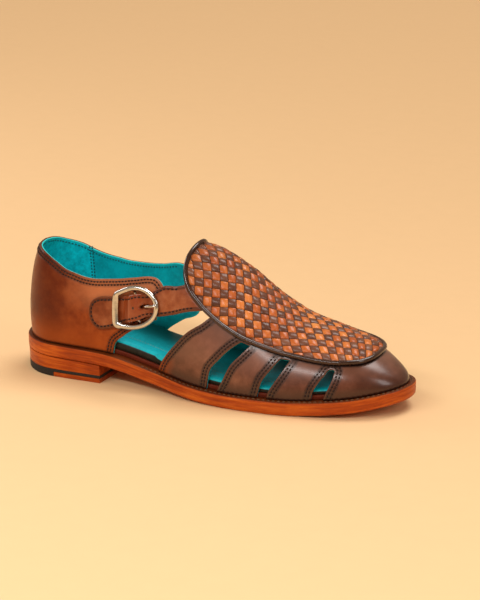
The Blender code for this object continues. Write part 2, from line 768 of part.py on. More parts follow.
def apron_part(table, side, first, final, step):
    """Piece of the apron's outline between two stations on its way back from the toe to the throat."""
    rows = np.array(table)
    run = line(table, side, 0.0005)
    picks = [int(np.argmin(np.hypot((run[:, 0] / SOLE_LENGTH - s) * 3, run[:, 2] - r))) for s, r in (first, final)]
    a, b = picks
    part = run[a : b + 1] if a < b else run[b : a + 1][::-1]
    ends = spaced(part, step)
    ends[0] = (first[0] * SOLE_LENGTH, side, first[1])
    ends[-1] = (final[0] * SOLE_LENGTH, side, final[1])
    return ends


THROAT = APRON_OUTER[0]
upper_loop = chained(
    *side_openings(-1),
    apron_part(APRON_OUTER, -1, STRIP_BACK[-1], THROAT, EDGE_STEP),
    apron_part(APRON_INNER, 1, THROAT, STRAP_TOP[-1], EDGE_STEP),
    back(line(STRAP_TOP, 1, EDGE_STEP)),
    line(COLLAR_INNER, 1, EDGE_STEP),
    back(line(COLLAR_OUTER, -1, EDGE_STEP)),
    line(QUARTER_FRONT, -1, EDGE_STEP),
    line(QUARTER_LOWER, -1, EDGE_STEP),
    feather_line(at_station(QUARTER_LOWER), LAST_BACK, -1, EDGE_STEP),
    feather_line(LAST_BACK, at_station(QUARTER_LOWER_INNER), 1, EDGE_STEP),
    back(line(QUARTER_LOWER_INNER, 1, EDGE_STEP)),
    line(STRAP_BOTTOM_INNER, 1, EDGE_STEP),
    apron_part(APRON_INNER, 1, STRAP_BOTTOM_INNER[-1], STRIP_BACK[-1], EDGE_STEP),
    *[back(run) for run in reversed(side_openings(1))],
)
dressed(wall("upper", cut_skin([upper_loop], SKIN_STEP), 0.0, -UPPER_WALL), UPPER_LEATHER)


def rolled(flat):
    """Places on the front of the last from points laid flat by unrolled."""
    x = flat[:, 0]
    ridge = last_surface(x, -1, 1.0)[:, 1]
    side = np.where(flat[:, 1] < ridge, -1.0, 1.0)
    arc = np.abs(flat[:, 1] - ridge)
    levels = np.linspace(1, 0, 120)
    points = last_surface(x[:, None], side[:, None], levels[None, :])
    length = np.linalg.norm(np.diff(points, axis=1), axis=2).cumsum(1)
    length = np.hstack([np.zeros((len(x), 1)), length])
    rise = np.array([np.interp(a, row, levels) for a, row in zip(arc, length)])
    return np.stack([x, side, rise], 1)


def drawn_in(flat, distance):
    """A flat closed loop moved towards its inside."""
    ahead, behind = np.roll(flat, -1, axis=0), np.roll(flat, 1, axis=0)
    along = ahead - behind
    along = along / np.linalg.norm(along, axis=1)[:, None]
    normal = np.stack([-along[:, 1], along[:, 0]], 1)
    area = (flat[:, 0] * ahead[:, 1] - flat[:, 1] * ahead[:, 0]).sum()
    return flat + normal * distance * np.sign(area)


# Woven apron: one close wall lying on the upper inside the piping, and the piping cord round it.
APRON_STEP = 0.0050
apron_loop = chained(
    back(line(APRON_OUTER, -1, APRON_STEP)),
    line(APRON_INNER, 1, APRON_STEP),
)
apron_flat = unrolled(apron_loop[:, 0], apron_loop[:, 1], apron_loop[:, 2])
weave_loop = rolled(drawn_in(apron_flat, 2 * PIPING_RADIUS + EDGE_CLEARANCE))
dressed(
    wall(
        "woven_apron",
        cut_skin([weave_loop], SKIN_STEP * 0.9),
        FIT_GAP + EDGE_CLEARANCE + APRON_THICKNESS,
        FIT_GAP + EDGE_CLEARANCE,
    ),
    WOVEN_LEATHER,
)
piping_places = rolled(drawn_in(apron_flat, PIPING_RADIUS))
piping_path = last_surface(piping_places[:, 0], piping_places[:, 1], piping_places[:, 2])
piping_path = piping_path + surface_normals(piping_places) * (EDGE_CLEARANCE + PIPING_RADIUS)
dressed(as_mesh(cord("apron_piping", piping_path, PIPING_RADIUS, True)), PIPING_LEATHER)

# Buckle frame of reference: middle of the buckle on the quarter, along the strap, up the side, outwards.
BAR_HEIGHT = FIT_GAP + LOOP_LEATHER + FIT_GAP + CENTRE_BAR_RADIUS
STRAP_OVER_BAR = BAR_HEIGHT + CENTRE_BAR_RADIUS + 2 * PRONG_RADIUS + 2 * FIT_GAP
FRAME_LIFT = FIT_GAP + STRAP_THICKNESS + FIT_GAP + FRAME_WIRE_RADIUS + EDGE_CLEARANCE
middle = np.array([[BUCKLE_STATION * SOLE_LENGTH, -1, eased(STRAP_RUN, 1, BUCKLE_STATION)]])
BUCKLE_AT = last_surface(middle[:, 0], middle[:, 1], middle[:, 2])[0]
OUTWARDS = surface_normals(middle)[0]
tilt = np.radians(BUCKLE_TILT)
ALONG = np.array([np.cos(tilt), 0.0, np.sin(tilt)])
ALONG = ALONG - OUTWARDS * (ALONG @ OUTWARDS)
ALONG = ALONG / np.linalg.norm(ALONG)
UPWARDS = np.cross(ALONG, OUTWARDS) * np.sign(np.cross(ALONG, OUTWARDS)[2])


def at_buckle(along, upwards, outwards):
    return BUCKLE_AT + np.outer(along, ALONG) + np.outer(upwards, UPWARDS) + np.outer(outwards, OUTWARDS)


def from_buckle(x):
    """Distance forward of the buckle's middle."""
    return x - BUCKLE_STATION * SOLE_LENGTH


def strap_places(share):
    """Places across the strap: share -1 at its lower edge, 1 at its upper edge, for every station asked."""

    def places(x):
        station = x / SOLE_LENGTH
        half = flowing(STRAP_AT_BUCKLE, 1, from_buckle(x)) * STRAP_WIDTH
        tail = np.clip((STRAP_RUN[0][0] * SOLE_LENGTH + STRAP_TAIL_ROUND - x) / STRAP_TAIL_ROUND, 0, 1)
        half = half * (1 - tail**2.2) ** (1 / 2.2)
        levels = np.linspace(0, 1, 160)
        found = []
        for xi, hi, ri in zip(x, half, flowing(STRAP_RUN, 1, station)):
            points = last_surface(xi, -1, levels)
            length = np.r_[0, np.cumsum(np.linalg.norm(np.diff(points, axis=0), axis=1))]
            found.append(np.interp(np.interp(ri, levels, length) + hi * share, length, levels))
        return np.stack([x, np.full_like(x, -1.0), np.array(found)], 1)

    return places


def strap_lift(places):
    """Distance of the strap's underside from the last."""
    over = FIT_GAP + eased(STRAP_AT_BUCKLE, 2, from_buckle(places[:, 0])) * (STRAP_OVER_BAR - FIT_GAP)
    return over - eased(STRAP_RUN, 2, places[:, 0] / SOLE_LENGTH) * (UPPER_WALL + FIT_GAP)


STRAP_STEP = 0.0032
tail_x = STRAP_RUN[0][0] * SOLE_LENGTH
reach = (1 - np.cos(np.linspace(0, np.pi / 2, 200))) ** 1.2
top_edge = strap_places(1.0)(tail_x + (STRAP_ENDS[0] * SOLE_LENGTH - tail_x) * reach)
low_edge = strap_places(-1.0)(tail_x + (STRAP_ENDS[1] * SOLE_LENGTH - tail_x) * reach)
strap_end = apron_part(APRON_OUTER, -1, STRAP_MEETS_APRON[0], STRAP_MEETS_APRON[1], STRAP_STEP)
strap_end = strap_end + np.array([-0.0006, 0.0, -0.004])
strap_loop = chained(
    spaced(top_edge, STRAP_STEP),
    spaced(np.vstack([top_edge[-1:], strap_end[:1]]), STRAP_STEP),
    strap_end,
    spaced(np.vstack([strap_end[-1:], low_edge[-1:]]), STRAP_STEP),
    back(spaced(low_edge, STRAP_STEP)),
)
around = np.linspace(0, 2 * np.pi, 12, endpoint=False)
hole_x = BUCKLE_STATION * SOLE_LENGTH + 0.0070 + PRONG_HOLE_LENGTH / 2 * np.cos(around)
hole_z = at_buckle(from_buckle(hole_x), PRONG_HOLE_WIDTH / 2 * np.sin(around), 0 * around)[:, 2]
levels = np.linspace(0, 1, 300)
hole_rise = [np.interp(z, last_surface(x, -1, levels)[:, 2], levels) for x, z in zip(hole_x, hole_z)]
hole_loop = np.stack([hole_x, np.full(12, -1.0), np.array(hole_rise)], 1)
dressed(
    wall("buckle_strap", cut_skin([strap_loop, hole_loop], STRAP_STEP, strap_lift), STRAP_THICKNESS, 0.0),
    STRAP_LEATHER,
)


def frame_path():
    """Middle of the frame wire: straight bar at the tail side, rails opening out, round end."""
    left = -FRAME_LENGTH / 2 + FRAME_WIRE_RADIUS
    right = FRAME_LENGTH / 2 - FRAME_WIRE_RADIUS
    half = FRAME_HEIGHT / 2 - FRAME_WIRE_RADIUS
    bar = FRAME_BAR_HEIGHT / 2 - FRAME_WIRE_RADIUS
    turn = np.linspace(np.pi / 2, -np.pi / 2, 25)
    shoulder = -0.0015
    along = np.r_[left, left, left + 0.0008, left + 0.0024, shoulder + (right - shoulder) * np.cos(turn)]
    up = np.r_[0.0, bar - 0.0022, bar - 0.0006, bar, half * np.sin(turn)]
    along = np.r_[along, left + 0.0024, left + 0.0008, left]
    up = np.r_[up, -bar, -bar + 0.0006, -bar + 0.0022]
    return at_buckle(along, up, np.full_like(along, FRAME_LIFT))


def buckle_frame():
    frame = as_mesh(cord("buckle_frame", frame_path(), FRAME_WIRE_RADIUS, True))
    half = FRAME_HEIGHT / 2 - FRAME_WIRE_RADIUS
    up = np.array([-half, -half + 0.0008, -half + 0.0030, half - 0.0030, half - 0.0008, half])
    out = np.array([FRAME_LIFT, FRAME_LIFT, BAR_HEIGHT, BAR_HEIGHT, FRAME_LIFT, FRAME_LIFT])
    bar = as_mesh(cord("centre_bar", at_buckle(np.zeros(6), up, out), CENTRE_BAR_RADIUS, False))
    SHOE.objects.unlink(bar)
    CUTTERS.objects.link(bar)
    bar.display_type = "WIRE"
    bar.hide_render = True
    join = frame.modifiers.new("centre_bar", "BOOLEAN")
    join.operation = "UNION"
    join.solver = "EXACT"
    join.object = bar
    return frame


dressed(buckle_frame(), NICKEL)


def prong_path():
    """Over the centre bar, up through the strap's hole, on to the round end of the frame."""
    turn = np.radians(np.linspace(200, 80, 6))
    hook = CENTRE_BAR_RADIUS + FIT_GAP * 0.8 + PRONG_RADIUS
    rest = FRAME_LIFT + FRAME_WIRE_RADIUS + FIT_GAP + PRONG_RADIUS
    along = np.r_[hook * np.cos(turn), 0.0025, 0.0042, 0.0062, 0.0080, 0.0098, 0.0125, 0.0182]
    out = np.r_[BAR_HEIGHT + hook * np.sin(turn), 0.0041, 0.0037, 0.0047, 0.0060, 0.0069, rest, rest]
    return at_buckle(along, np.zeros_like(along), out)


dressed(as_mesh(cord("buckle_prong", prong_path(), PRONG_RADIUS, False)), NICKEL)


def buckle_loop():
    """Leather curled round the centre bar with its tail on the quarter, notched for the prong."""
    inner = CENTRE_BAR_RADIUS + FIT_GAP
    outer = inner + LOOP_LEATHER
    turn = np.radians(np.linspace(-90, 190, 15))
    low = BAR_HEIGHT - outer
    along = np.r_[-LOOP_TAIL, outer * np.cos(turn), inner * np.cos(turn[::-1]), -LOOP_TAIL]
    out = np.r_[low, BAR_HEIGHT + outer * np.sin(turn), BAR_HEIGHT + inner * np.sin(turn[::-1]), low + LOOP_LEATHER]
    count = len(along)
    near = at_buckle(along, np.full(count, -LOOP_WIDTH / 2), out)
    far = at_buckle(along, np.full(count, LOOP_WIDTH / 2), out)
    faces = [(i, (i + 1) % count, (i + 1) % count + count, i + count) for i in range(count)]
    faces += [tuple(range(count)), tuple(range(2 * count - 1, count - 1, -1))]
    loop = solid("buckle_loop", np.vstack([near, far]), faces)
    reach = np.array([-0.0031, 0.0040])
    room = PRONG_RADIUS + FIT_GAP + 0.0002
    corners = [(a, u, o) for a in reach for u in (-room, room) for o in (0.0002, 0.0060)]
    box = at_buckle(*np.array(corners).T)
    sides = [(0, 1, 3, 2), (4, 6, 7, 5), (0, 4, 5, 1), (2, 3, 7, 6), (0, 2, 6, 4), (1, 5, 7, 3)]
    notch = solid("prong_notch", box, sides)
    SHOE.objects.unlink(notch)
    CUTTERS.objects.link(notch)
    notch.display_type = "WIRE"
    notch.hide_render = True
    cut = loop.modifiers.new("notch", "BOOLEAN")
    cut.operation = "DIFFERENCE"
    cut.solver = "EXACT"
    cut.object = notch
    return loop


dressed(buckle_loop(), STRAP_LEATHER)
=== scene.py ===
import bmesh
import bpy
import numpy as np
from mathutils import Matrix, Vector
from mathutils.geometry import delaunay_2d_cdt
from mathutils.kdtree import KDTree


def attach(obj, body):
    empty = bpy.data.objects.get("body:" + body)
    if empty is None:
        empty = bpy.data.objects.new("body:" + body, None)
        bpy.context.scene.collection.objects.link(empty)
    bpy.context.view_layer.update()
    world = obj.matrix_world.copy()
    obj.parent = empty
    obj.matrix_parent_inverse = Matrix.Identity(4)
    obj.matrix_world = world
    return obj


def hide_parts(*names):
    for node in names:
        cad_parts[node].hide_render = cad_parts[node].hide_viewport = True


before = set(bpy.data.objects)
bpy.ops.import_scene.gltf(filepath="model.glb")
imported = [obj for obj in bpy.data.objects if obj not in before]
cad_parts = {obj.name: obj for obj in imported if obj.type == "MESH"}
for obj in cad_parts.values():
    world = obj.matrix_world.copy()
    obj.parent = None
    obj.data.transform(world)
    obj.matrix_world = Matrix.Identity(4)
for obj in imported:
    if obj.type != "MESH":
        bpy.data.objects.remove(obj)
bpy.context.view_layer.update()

# Outsole: one layer of oak-bark sole leather cut to the outline, cemented and stitched to the welt.
# Its edge is sanded, stained orange-brown and waxed, so the layered grain runs along it as fine streaks.
SOLE_LENGTH, BALL_WIDTH = 0.300, 0.098
HEEL_HEIGHT, HEEL_BREAST = 0.0156, 0.074
TOE_SPRING = 0.010
OUTSOLE_THICKNESS = 0.0057
HEEL_ROUND, TOE_ROUND = 0.034, 0.078
HEEL_CORNER, TOE_CORNER = 2.1, 2.2
FIT_GAP = 0.0003
EDGE_STAINS = (
    (0.33, (0.160, 0.018, 0.001)), (0.50, (0.370, 0.052, 0.002)), (0.66, (0.640, 0.140, 0.010)),
)

# Sole outline: station, centre line and half width as shares of the ball width.
SOLE_PLAN = (
    (0.00, 0.004, 0.349), (0.12, -0.014, 0.365), (0.25, -0.035, 0.347), (0.38, -0.067, 0.335),
    (0.50, -0.072, 0.393), (0.62, -0.017, 0.473), (0.70, 0.024, 0.499), (0.80, 0.050, 0.479),
    (0.90, 0.052, 0.447), (1.00, 0.049, 0.398),
)
# Underside: station, share of the heel height, share of the toe spring.
UNDERSIDE = (
    (0.00, 1.00, 0.00), (0.25, 0.87, 0.00), (0.40, 0.40, 0.00), (0.53, 0.05, 0.00), (0.60, 0.00, 0.00),
    (0.72, 0.00, 0.00), (0.80, 0.00, 0.13), (0.88, 0.00, 0.36), (1.00, 0.00, 1.00),
)


def hermite(x, y, tangent, at):
    at = np.clip(np.asarray(at, float), x[0], x[-1])
    i = np.clip(np.searchsorted(x, at, side="right") - 1, 0, len(x) - 2)
    h = x[i + 1] - x[i]
    t = (at - x[i]) / h
    rise = y[i] * (1 + 2 * t) * (1 - t) ** 2 + y[i + 1] * t * t * (3 - 2 * t)
    return rise + tangent[i] * h * t * (1 - t) ** 2 + tangent[i + 1] * h * t * t * (t - 1)


def flowing(table, column, at):
    """A column of a table as a smooth curve through every row."""
    rows = np.array(table, float)
    x, y = rows[:, 0], rows[:, column]
    return hermite(x, y, np.gradient(y, x), at)


def eased(table, column, at):
    """A column of a table as a curve that never overshoots its rows."""
    rows = np.array(table, float)
    x, y = rows[:, 0], rows[:, column]
    step = np.diff(x)
    slope = np.diff(y) / step
    tangent = np.zeros_like(y)
    same = slope[:-1] * slope[1:] > 0
    before, after = 2 * step[1:] + step[:-1], step[1:] + 2 * step[:-1]
    safe_one, safe_two = np.where(same, slope[:-1], 1), np.where(same, slope[1:], 1)
    tangent[1:-1] = np.where(same, (before + after) / (before / safe_one + after / safe_two), 0)
    tangent[0], tangent[-1] = slope[0], slope[-1]
    return hermite(x, y, tangent, at)


def round_end(share, corner):
    """How much of the full width is left at a share of the way round an end."""
    return (1 - share**corner) ** (1 / corner)


def sole_edges(x, inset=0.0, heel_inset=None):
    """Outer and inner edge of the sole outline at x, drawn in by the inset."""
    heel_inset = inset if heel_inset is None else heel_inset
    x = np.asarray(x, float)
    share = np.clip(x / SOLE_LENGTH, 0, 1)
    here = heel_inset + (inset - heel_inset) * np.clip((share - 0.1) / 0.2, 0, 1)
    centre = flowing(SOLE_PLAN, 1, share) * BALL_WIDTH
    half = flowing(SOLE_PLAN, 2, share) * BALL_WIDTH - here
    heel_round, toe_round = HEEL_ROUND - heel_inset, TOE_ROUND - inset
    heel = np.clip((heel_inset + heel_round - x) / heel_round, 0, 1)
    toe = np.clip((x - (SOLE_LENGTH - inset - toe_round)) / toe_round, 0, 1)
    half = half * round_end(heel, HEEL_CORNER) * round_end(toe, TOE_CORNER)
    return centre - half, centre + half


def underside(x):
    share = np.clip(np.asarray(x, float) / SOLE_LENGTH, 0, 1)
    return eased(UNDERSIDE, 1, share) * HEEL_HEIGHT + eased(UNDERSIDE, 2, share) * TOE_SPRING


def run_length(points):
    """Way covered along a run of points, from 0 at the first."""
    return np.r_[0, np.cumsum(np.linalg.norm(np.diff(points, axis=0), axis=1))]


def unit(vectors):
    return vectors / np.linalg.norm(vectors, axis=-1, keepdims=True)


MEASURED = sole_edges(np.linspace(0.0, SOLE_LENGTH, 400))
SHIFT = np.array([SOLE_LENGTH / 2, (MEASURED[0].min() + MEASURED[1].max()) / 2, 0.0])


def placed(name, data):
    made = bpy.data.objects.new(name, data)
    bpy.context.scene.collection.objects.link(made)
    return made


def mesh_piece(name, points, faces, sharp=38.0):
    """Object from points in the shoe's own frame, turned outwards and smooth but for its sharp edges."""
    mesh = bpy.data.meshes.new(name)
    mesh.from_pydata((np.asarray(points) - SHIFT).tolist(), [], [tuple(map(int, f)) for f in faces])
    work = bmesh.new()
    work.from_mesh(mesh)
    bmesh.ops.delete(work, geom=[v for v in work.verts if not v.link_faces], context="VERTS")
    bmesh.ops.recalc_face_normals(work, faces=work.faces)
    work.to_mesh(mesh)
    work.free()
    mesh.shade_smooth()
    mesh.set_sharp_from_angle(angle=np.radians(sharp))
    return placed(name, mesh)


def mark(made, name, values):
    """Per-point values that a finish reads, one number or three to a point."""
    values = np.asarray(values, np.float32)
    kind = "FLOAT" if values.ndim == 1 else "FLOAT_VECTOR"
    layer = made.data.attributes.new(name, kind, "POINT")
    layer.data.foreach_set("value" if values.ndim == 1 else "vector", values.ravel())


def sole_layer(name, low, high, levels, count=150, heel_inset=None, ends="round", toe_extra=0.0):
    """Layer over the sole outline. Levels hold an inset and a height over the underside or by x."""
    turn = (1 - np.cos(np.linspace(0, np.pi, count))) / 2
    if ends == "straight front":
        turn = 1 - np.cos(np.linspace(0, np.pi / 2, count))
    if ends == "straight both":
        turn = np.linspace(0, 1, count)
    rings, heights = [], []
    for inset, height in levels:
        near = low if ends == "straight both" else low + inset
        far = high - inset - toe_extra if ends == "round" else high
        x = near + (far - near) * turn
        here = inset + toe_extra * np.clip((x / SOLE_LENGTH - 0.75) / 0.15, 0, 1)
        outer, inner = sole_edges(x, here, inset if heel_inset is None else inset + heel_inset)
        z = height(x) if callable(height) else underside(x) + height
        rings.append(np.vstack([np.stack([x, outer, z], 1), np.stack([x, inner, z], 1)]))
        heights.append(np.tile(z - underside(x), 2))
    faces = []
    for ring in range(len(rings) - 1):
        a, b = ring * 2 * count, (ring + 1) * 2 * count
        for i in range(count - 1):
            faces.append((a + i, a + i + 1, b + i + 1, b + i))
            faces.append((a + count + i + 1, a + count + i, b + count + i, b + count + i + 1))
        faces.append((a + count - 1, a + 2 * count - 1, b + 2 * count - 1, b + count - 1))
        faces.append((a + count, a, b, b + count))
    last = (len(rings) - 1) * 2 * count
    for i in range(count - 1):
        faces.append((i, count + i, count + i + 1, i + 1))
        faces.append((last + i, last + i + 1, last + count + i + 1, last + count + i))
    points = np.vstack(rings)
    made = mesh_piece(name, points, faces)
    along = run_length(points[:count, :2])
    run = np.tile(np.r_[along, along + 0.7], len(rings))
    mark(made, "layered", np.stack([run, np.concatenate(heights), points[:, 1]], 1))
    return made


def new_finish(name, rough, metal=0.0, coat=0.0, coat_rough=0.15, gloss=0.5):
    finish = bpy.data.materials.new(name)
    finish.use_nodes = True
    shader = finish.node_tree.nodes["Principled BSDF"]
    shader.inputs["Roughness"].default_value = rough
    shader.inputs["Metallic"].default_value = metal
    shader.inputs["Coat Weight"].default_value = coat
    shader.inputs["Coat Roughness"].default_value = coat_rough
    shader.inputs["Specular IOR Level"].default_value = gloss
    return finish, shader


def patch(kind, feeds, tree=None, **settings):
    """Node with its settings; each feed is a socket's name or number and a value or another socket."""
    joins = {key: value for key, value in feeds.items() if isinstance(value, bpy.types.NodeSocket)}
    tree = tree or next(iter(joins.values())).id_data
    made = tree.nodes.new("ShaderNode" + kind)
    for key, value in settings.items():
        setattr(made, key, value)
    for key, value in feeds.items():
        if key in joins:
            tree.links.new(value, made.inputs[key])
        else:
            made.inputs[key].default_value = value
    return made


def feed(shader, socket, source):
    shader.id_data.links.new(source, shader.inputs[socket])


def mottle(place, scale, detail=4.0, rough=0.55, stretch=None):
    """Cloudy unevenness at a place: the noise's value from 0 to 1."""
    if stretch is not None:
        place = patch("Mapping", {"Vector": place, "Scale": stretch}).outputs[0]
    feeds = {"Vector": place, "Scale": scale, "Detail": detail, "Roughness": rough}
    return patch("TexNoise", feeds).outputs["Fac"]


def stains(share, stops):
    """Colours that follow each other as the share grows."""
    made = patch("ValToRGB", {"Fac": share})
    ramp = made.color_ramp
    while len(ramp.elements) < len(stops):
        ramp.elements.new(0.5)
    for element, (at, colour) in zip(ramp.elements, stops):
        element.position = at
        element.color = (*colour, 1.0)
    return made.outputs["Color"]


def fade(share, low, high):
    """A value spread from 0 at low to 1 at high."""
    feeds = {"Value": share, "From Min": low, "From Max": high}
    return patch("MapRange", feeds, interpolation_type="SMOOTHSTEP").outputs["Result"]


def reckon(how, first, second=0.0):
    return patch("Math", {0: first, 1: second}, operation=how).outputs[0]


def times(first, second):
    return reckon("MULTIPLY", first, second)


def plus(first, second):
    return reckon("ADD", first, second)


def less(first, second):
    return reckon("SUBTRACT", first, second)


def over(share, under, top):
    """One colour laid over another."""
    top = (*top, 1.0) if isinstance(top, tuple) else top
    return patch("Mix", {0: share, 6: under, 7: top}, data_type="RGBA").outputs[2]


def raised(shader, height, depth, strength=1.0):
    """Fine relief on the shader from a height value, its depth in metres, over any relief it has."""
    feeds = {"Height": height, "Distance": depth, "Strength": strength}
    old = shader.inputs["Normal"]
    if old.is_linked:
        feeds["Normal"] = old.links[0].from_socket
    feed(shader, "Normal", patch("Bump", feeds).outputs[0])


def object_place(shader):
    return patch("TexCoord", {}, shader.id_data).outputs["Object"]


def marked(shader, name):
    """What mark laid on the points: Fac for one number, Vector for three."""
    return patch("Attribute", {}, shader.id_data, attribute_name=name).outputs


def split(source):
    return patch("SeparateXYZ", {"Vector": source}).outputs


def layered_leather(name, stops, rough, dark_above=None):
    """Stained sole-leather edge: streaks along the layers, a few rubbed lighter patches."""
    finish, shader = new_finish(name, rough, coat=0.08, coat_rough=0.22, gloss=0.22)
    lay = marked(shader, "layered")["Vector"]
    streaks = mottle(lay, 1.0, 6.0, 0.7, stretch=(42.0, 820.0, 60.0))
    coarse = mottle(lay, 1.0, 3.0, 0.5, stretch=(16.0, 240.0, 30.0))
    clouds = mottle(object_place(shader), 34.0, 3.0)
    share = plus(plus(times(streaks, 0.45), times(coarse, 0.30)), times(clouds, 0.28))
    colour = stains(share, stops)
    if dark_above is not None:
        rim = fade(split(lay)["Y"], dark_above, dark_above + 0.0006)
        colour = over(times(rim, 0.80), colour, (0.040, 0.010, 0.003))
    feed(shader, "Base Color", colour)
    raised(shader, streaks, 0.00012, 0.7)
    return finish


def dressed(made, finish, stands_for=()):
    """A finish on a piece, riding with the shoe, in the record's slot, in place of its plain solids."""
    made.data.materials.append(finish)
    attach(made, "root")
    if stands_for:
        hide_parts(*stands_for)
    return made


sole_stain = layered_leather("stained_sole_leather", EDGE_STAINS, 0.42)
outsole_levels = (
    (0.0016, 0.0), (0.0006, 0.0003), (0.0001, 0.0010), (0.0000, 0.0018),
    (0.0000, OUTSOLE_THICKNESS - 0.0001), (0.00008, OUTSOLE_THICKNESS + FIT_GAP / 2),
)
outsole_piece = sole_layer("stained_outsole", 0.0, SOLE_LENGTH, outsole_levels)
dressed(outsole_piece, sole_stain, stands_for=["outsole"])

# Midsole with the welt: the second layer, whose rim shows round the upper. The welt's top is skived to a
# round, a shade darker at the upper, and carries a row of brown lock stitches round the forepart.
MIDSOLE_BASE = OUTSOLE_THICKNESS + FIT_GAP
MIDSOLE_THICKNESS = 0.0036
WELT_SHOW, WELT_SHOW_HEEL = 0.0045, 0.0030
WELT_TOP = MIDSOLE_BASE + MIDSOLE_THICKNESS
midsole_levels = (
    (0.00008, MIDSOLE_BASE - FIT_GAP / 2), (0.0000, MIDSOLE_BASE + 0.0001), (0.0000, WELT_TOP - 0.0010),
    (0.0003, WELT_TOP - 0.0003), (0.0010, WELT_TOP), (WELT_SHOW_HEEL - 0.0008, WELT_TOP - 0.0001),
)
midsole_piece = sole_layer("stained_midsole", 0.0, SOLE_LENGTH, midsole_levels)
welt_stain = layered_leather("stained_welt", EDGE_STAINS, 0.42, WELT_TOP - 0.0007)
dressed(midsole_piece, welt_stain, stands_for=["welt_midsole"])


def thread_finish(name, colour, rough=0.6):
    """Waxed thread: two plies twisted, mottled a little lighter here and there."""
    finish, shader = new_finish(name, rough, gloss=0.2)
    cloud = mottle(object_place(shader), 900.0, 3.0)
    pale = tuple(min(1.0, c * 1.9 + 0.01) for c in colour)
    feed(shader, "Base Color", stains(cloud, ((0.3, colour), (0.75, pale))))
    raised(shader, cloud, 0.0001)
    return finish


def stitch_row(path, normals, pitch, length, radius):
    """Short rounded stitches along a path, each end sinking into its hole: points and faces."""
    path, normals = np.asarray(path), np.asarray(normals)
    run = run_length(path)
    count = int((run[-1] - length) / pitch)
    if count < 1:
        return np.zeros((0, 3)), np.zeros((0, 4), int)
    at = (run[-1] - (count - 1) * pitch) / 2 + np.arange(count) * pitch
    along = np.linspace(-0.5, 0.5, 5) * length
    girth = np.array([0.45, 0.95, 1.0, 0.95, 0.45]) * radius
    sink = np.array([-1.0, -0.1, 0.25, -0.1, -1.0]) * radius
    turn = (np.arange(6) * np.pi / 3)[:, None]
    places = at[:, None] + along[None, :]
    centre = np.stack([np.interp(places, run, path[:, i]) for i in range(3)], -1)
    up = unit(np.stack([np.interp(places, run, normals[:, i]) for i in range(3)], -1))
    ahead = unit(centre[:, -1:, :] - centre[:, :1, :])
    across = np.cross(np.broadcast_to(ahead, up.shape), up)
    centre = centre + up * sink[None, :, None]
    ring = across[:, :, None, :] * np.cos(turn) + up[:, :, None, :] * np.sin(turn)
    points = centre[:, :, None, :] + ring * girth[None, :, None, None]
    k = np.arange(6)
    ends = (k + 1) % 6
    quads = [np.stack([j + k, j + ends, j + 6 + ends, j + 6 + k], 1) for j in range(0, 24, 6)]
    caps = np.array([[0, 1, 2, 3], [0, 3, 4, 5], [24, 27, 26, 25], [24, 29, 28, 27]])
    one = np.vstack([*quads, caps])
    faces = (one[None] + (np.arange(count) * 30)[:, None, None]).reshape(-1, 4)
    return points.reshape(-1, 3), faces


def stitched(name, rows, finish):
    """One object of many stitches, from rows of points and faces."""
    starts = np.cumsum([0] + [len(points) for points, _ in rows])
    faces = np.vstack([faces + start for (_, faces), start in zip(rows, starts)])
    made = mesh_piece(name, np.vstack([points for points, _ in rows]), faces, sharp=80.0)
    return dressed(made, finish)


WELT_PITCH, WELT_STITCH, WELT_THREAD = 0.0037, 0.0027, 0.00042
WELT_ROW_INSET, WELT_ROW_HEEL, WELT_ROW_FROM = 0.0026, 0.0020, 0.105
turn = (1 - np.cos(np.linspace(0, np.pi, 500))) / 2
welt_rows = []
for side in (0, 1):
    x = WELT_ROW_INSET + (SOLE_LENGTH - 2 * WELT_ROW_INSET) * turn
    y = sole_edges(x, WELT_ROW_INSET, WELT_ROW_HEEL)[side]
    path = np.stack([x, y, underside(x) + WELT_TOP], 1)[x > WELT_ROW_FROM]
    ups = np.tile((0.0, 0.0, 1.0), (len(path), 1))
    welt_rows.append(stitch_row(path, ups, WELT_PITCH, WELT_STITCH, WELT_THREAD))
welt_thread = thread_finish("brown_welt_thread", (0.095, 0.045, 0.020))
stitched("welt_stitches", welt_rows, welt_thread)

# Heel: a stack of leather lifts, a layer of black rubber, and a top lift that is rubber at the rear and
# leather in front. The stack is stained like the sole, with a fine line where its lifts are glued.
FRONT_LIFT_THICKNESS, RUBBER_LAYER, RUBBER_REAR_LENGTH = 0.0034, 0.0020, 0.0355
HEEL_SIDE = 0.0006
LIFT_TOP = FRONT_LIFT_THICKNESS + FIT_GAP + RUBBER_LAYER
GLUE_LINE = LIFT_TOP + 0.0042


def from_ground(*levels):
    """Levels whose heights are measured from the floor."""
    return [(inset, lambda x, z=z: np.full_like(x, z)) for inset, z in levels]


stack_levels = from_ground(
    (HEEL_SIDE + 0.0001, LIFT_TOP + 0.00015), (HEEL_SIDE, LIFT_TOP + 0.0003), (HEEL_SIDE, GLUE_LINE - 0.0002),
    (HEEL_SIDE + 0.00006, GLUE_LINE), (HEEL_SIDE, GLUE_LINE + 0.0002),
) + [(HEEL_SIDE * 0.5, -0.0004), (HEEL_SIDE * 0.5 + 0.00004, -0.00015)]
stack_piece = sole_layer("leather_heel_stack", 0.0, HEEL_BREAST, stack_levels, 70, ends="straight front")
dressed(stack_piece, sole_stain, stands_for=["heel_stack"])

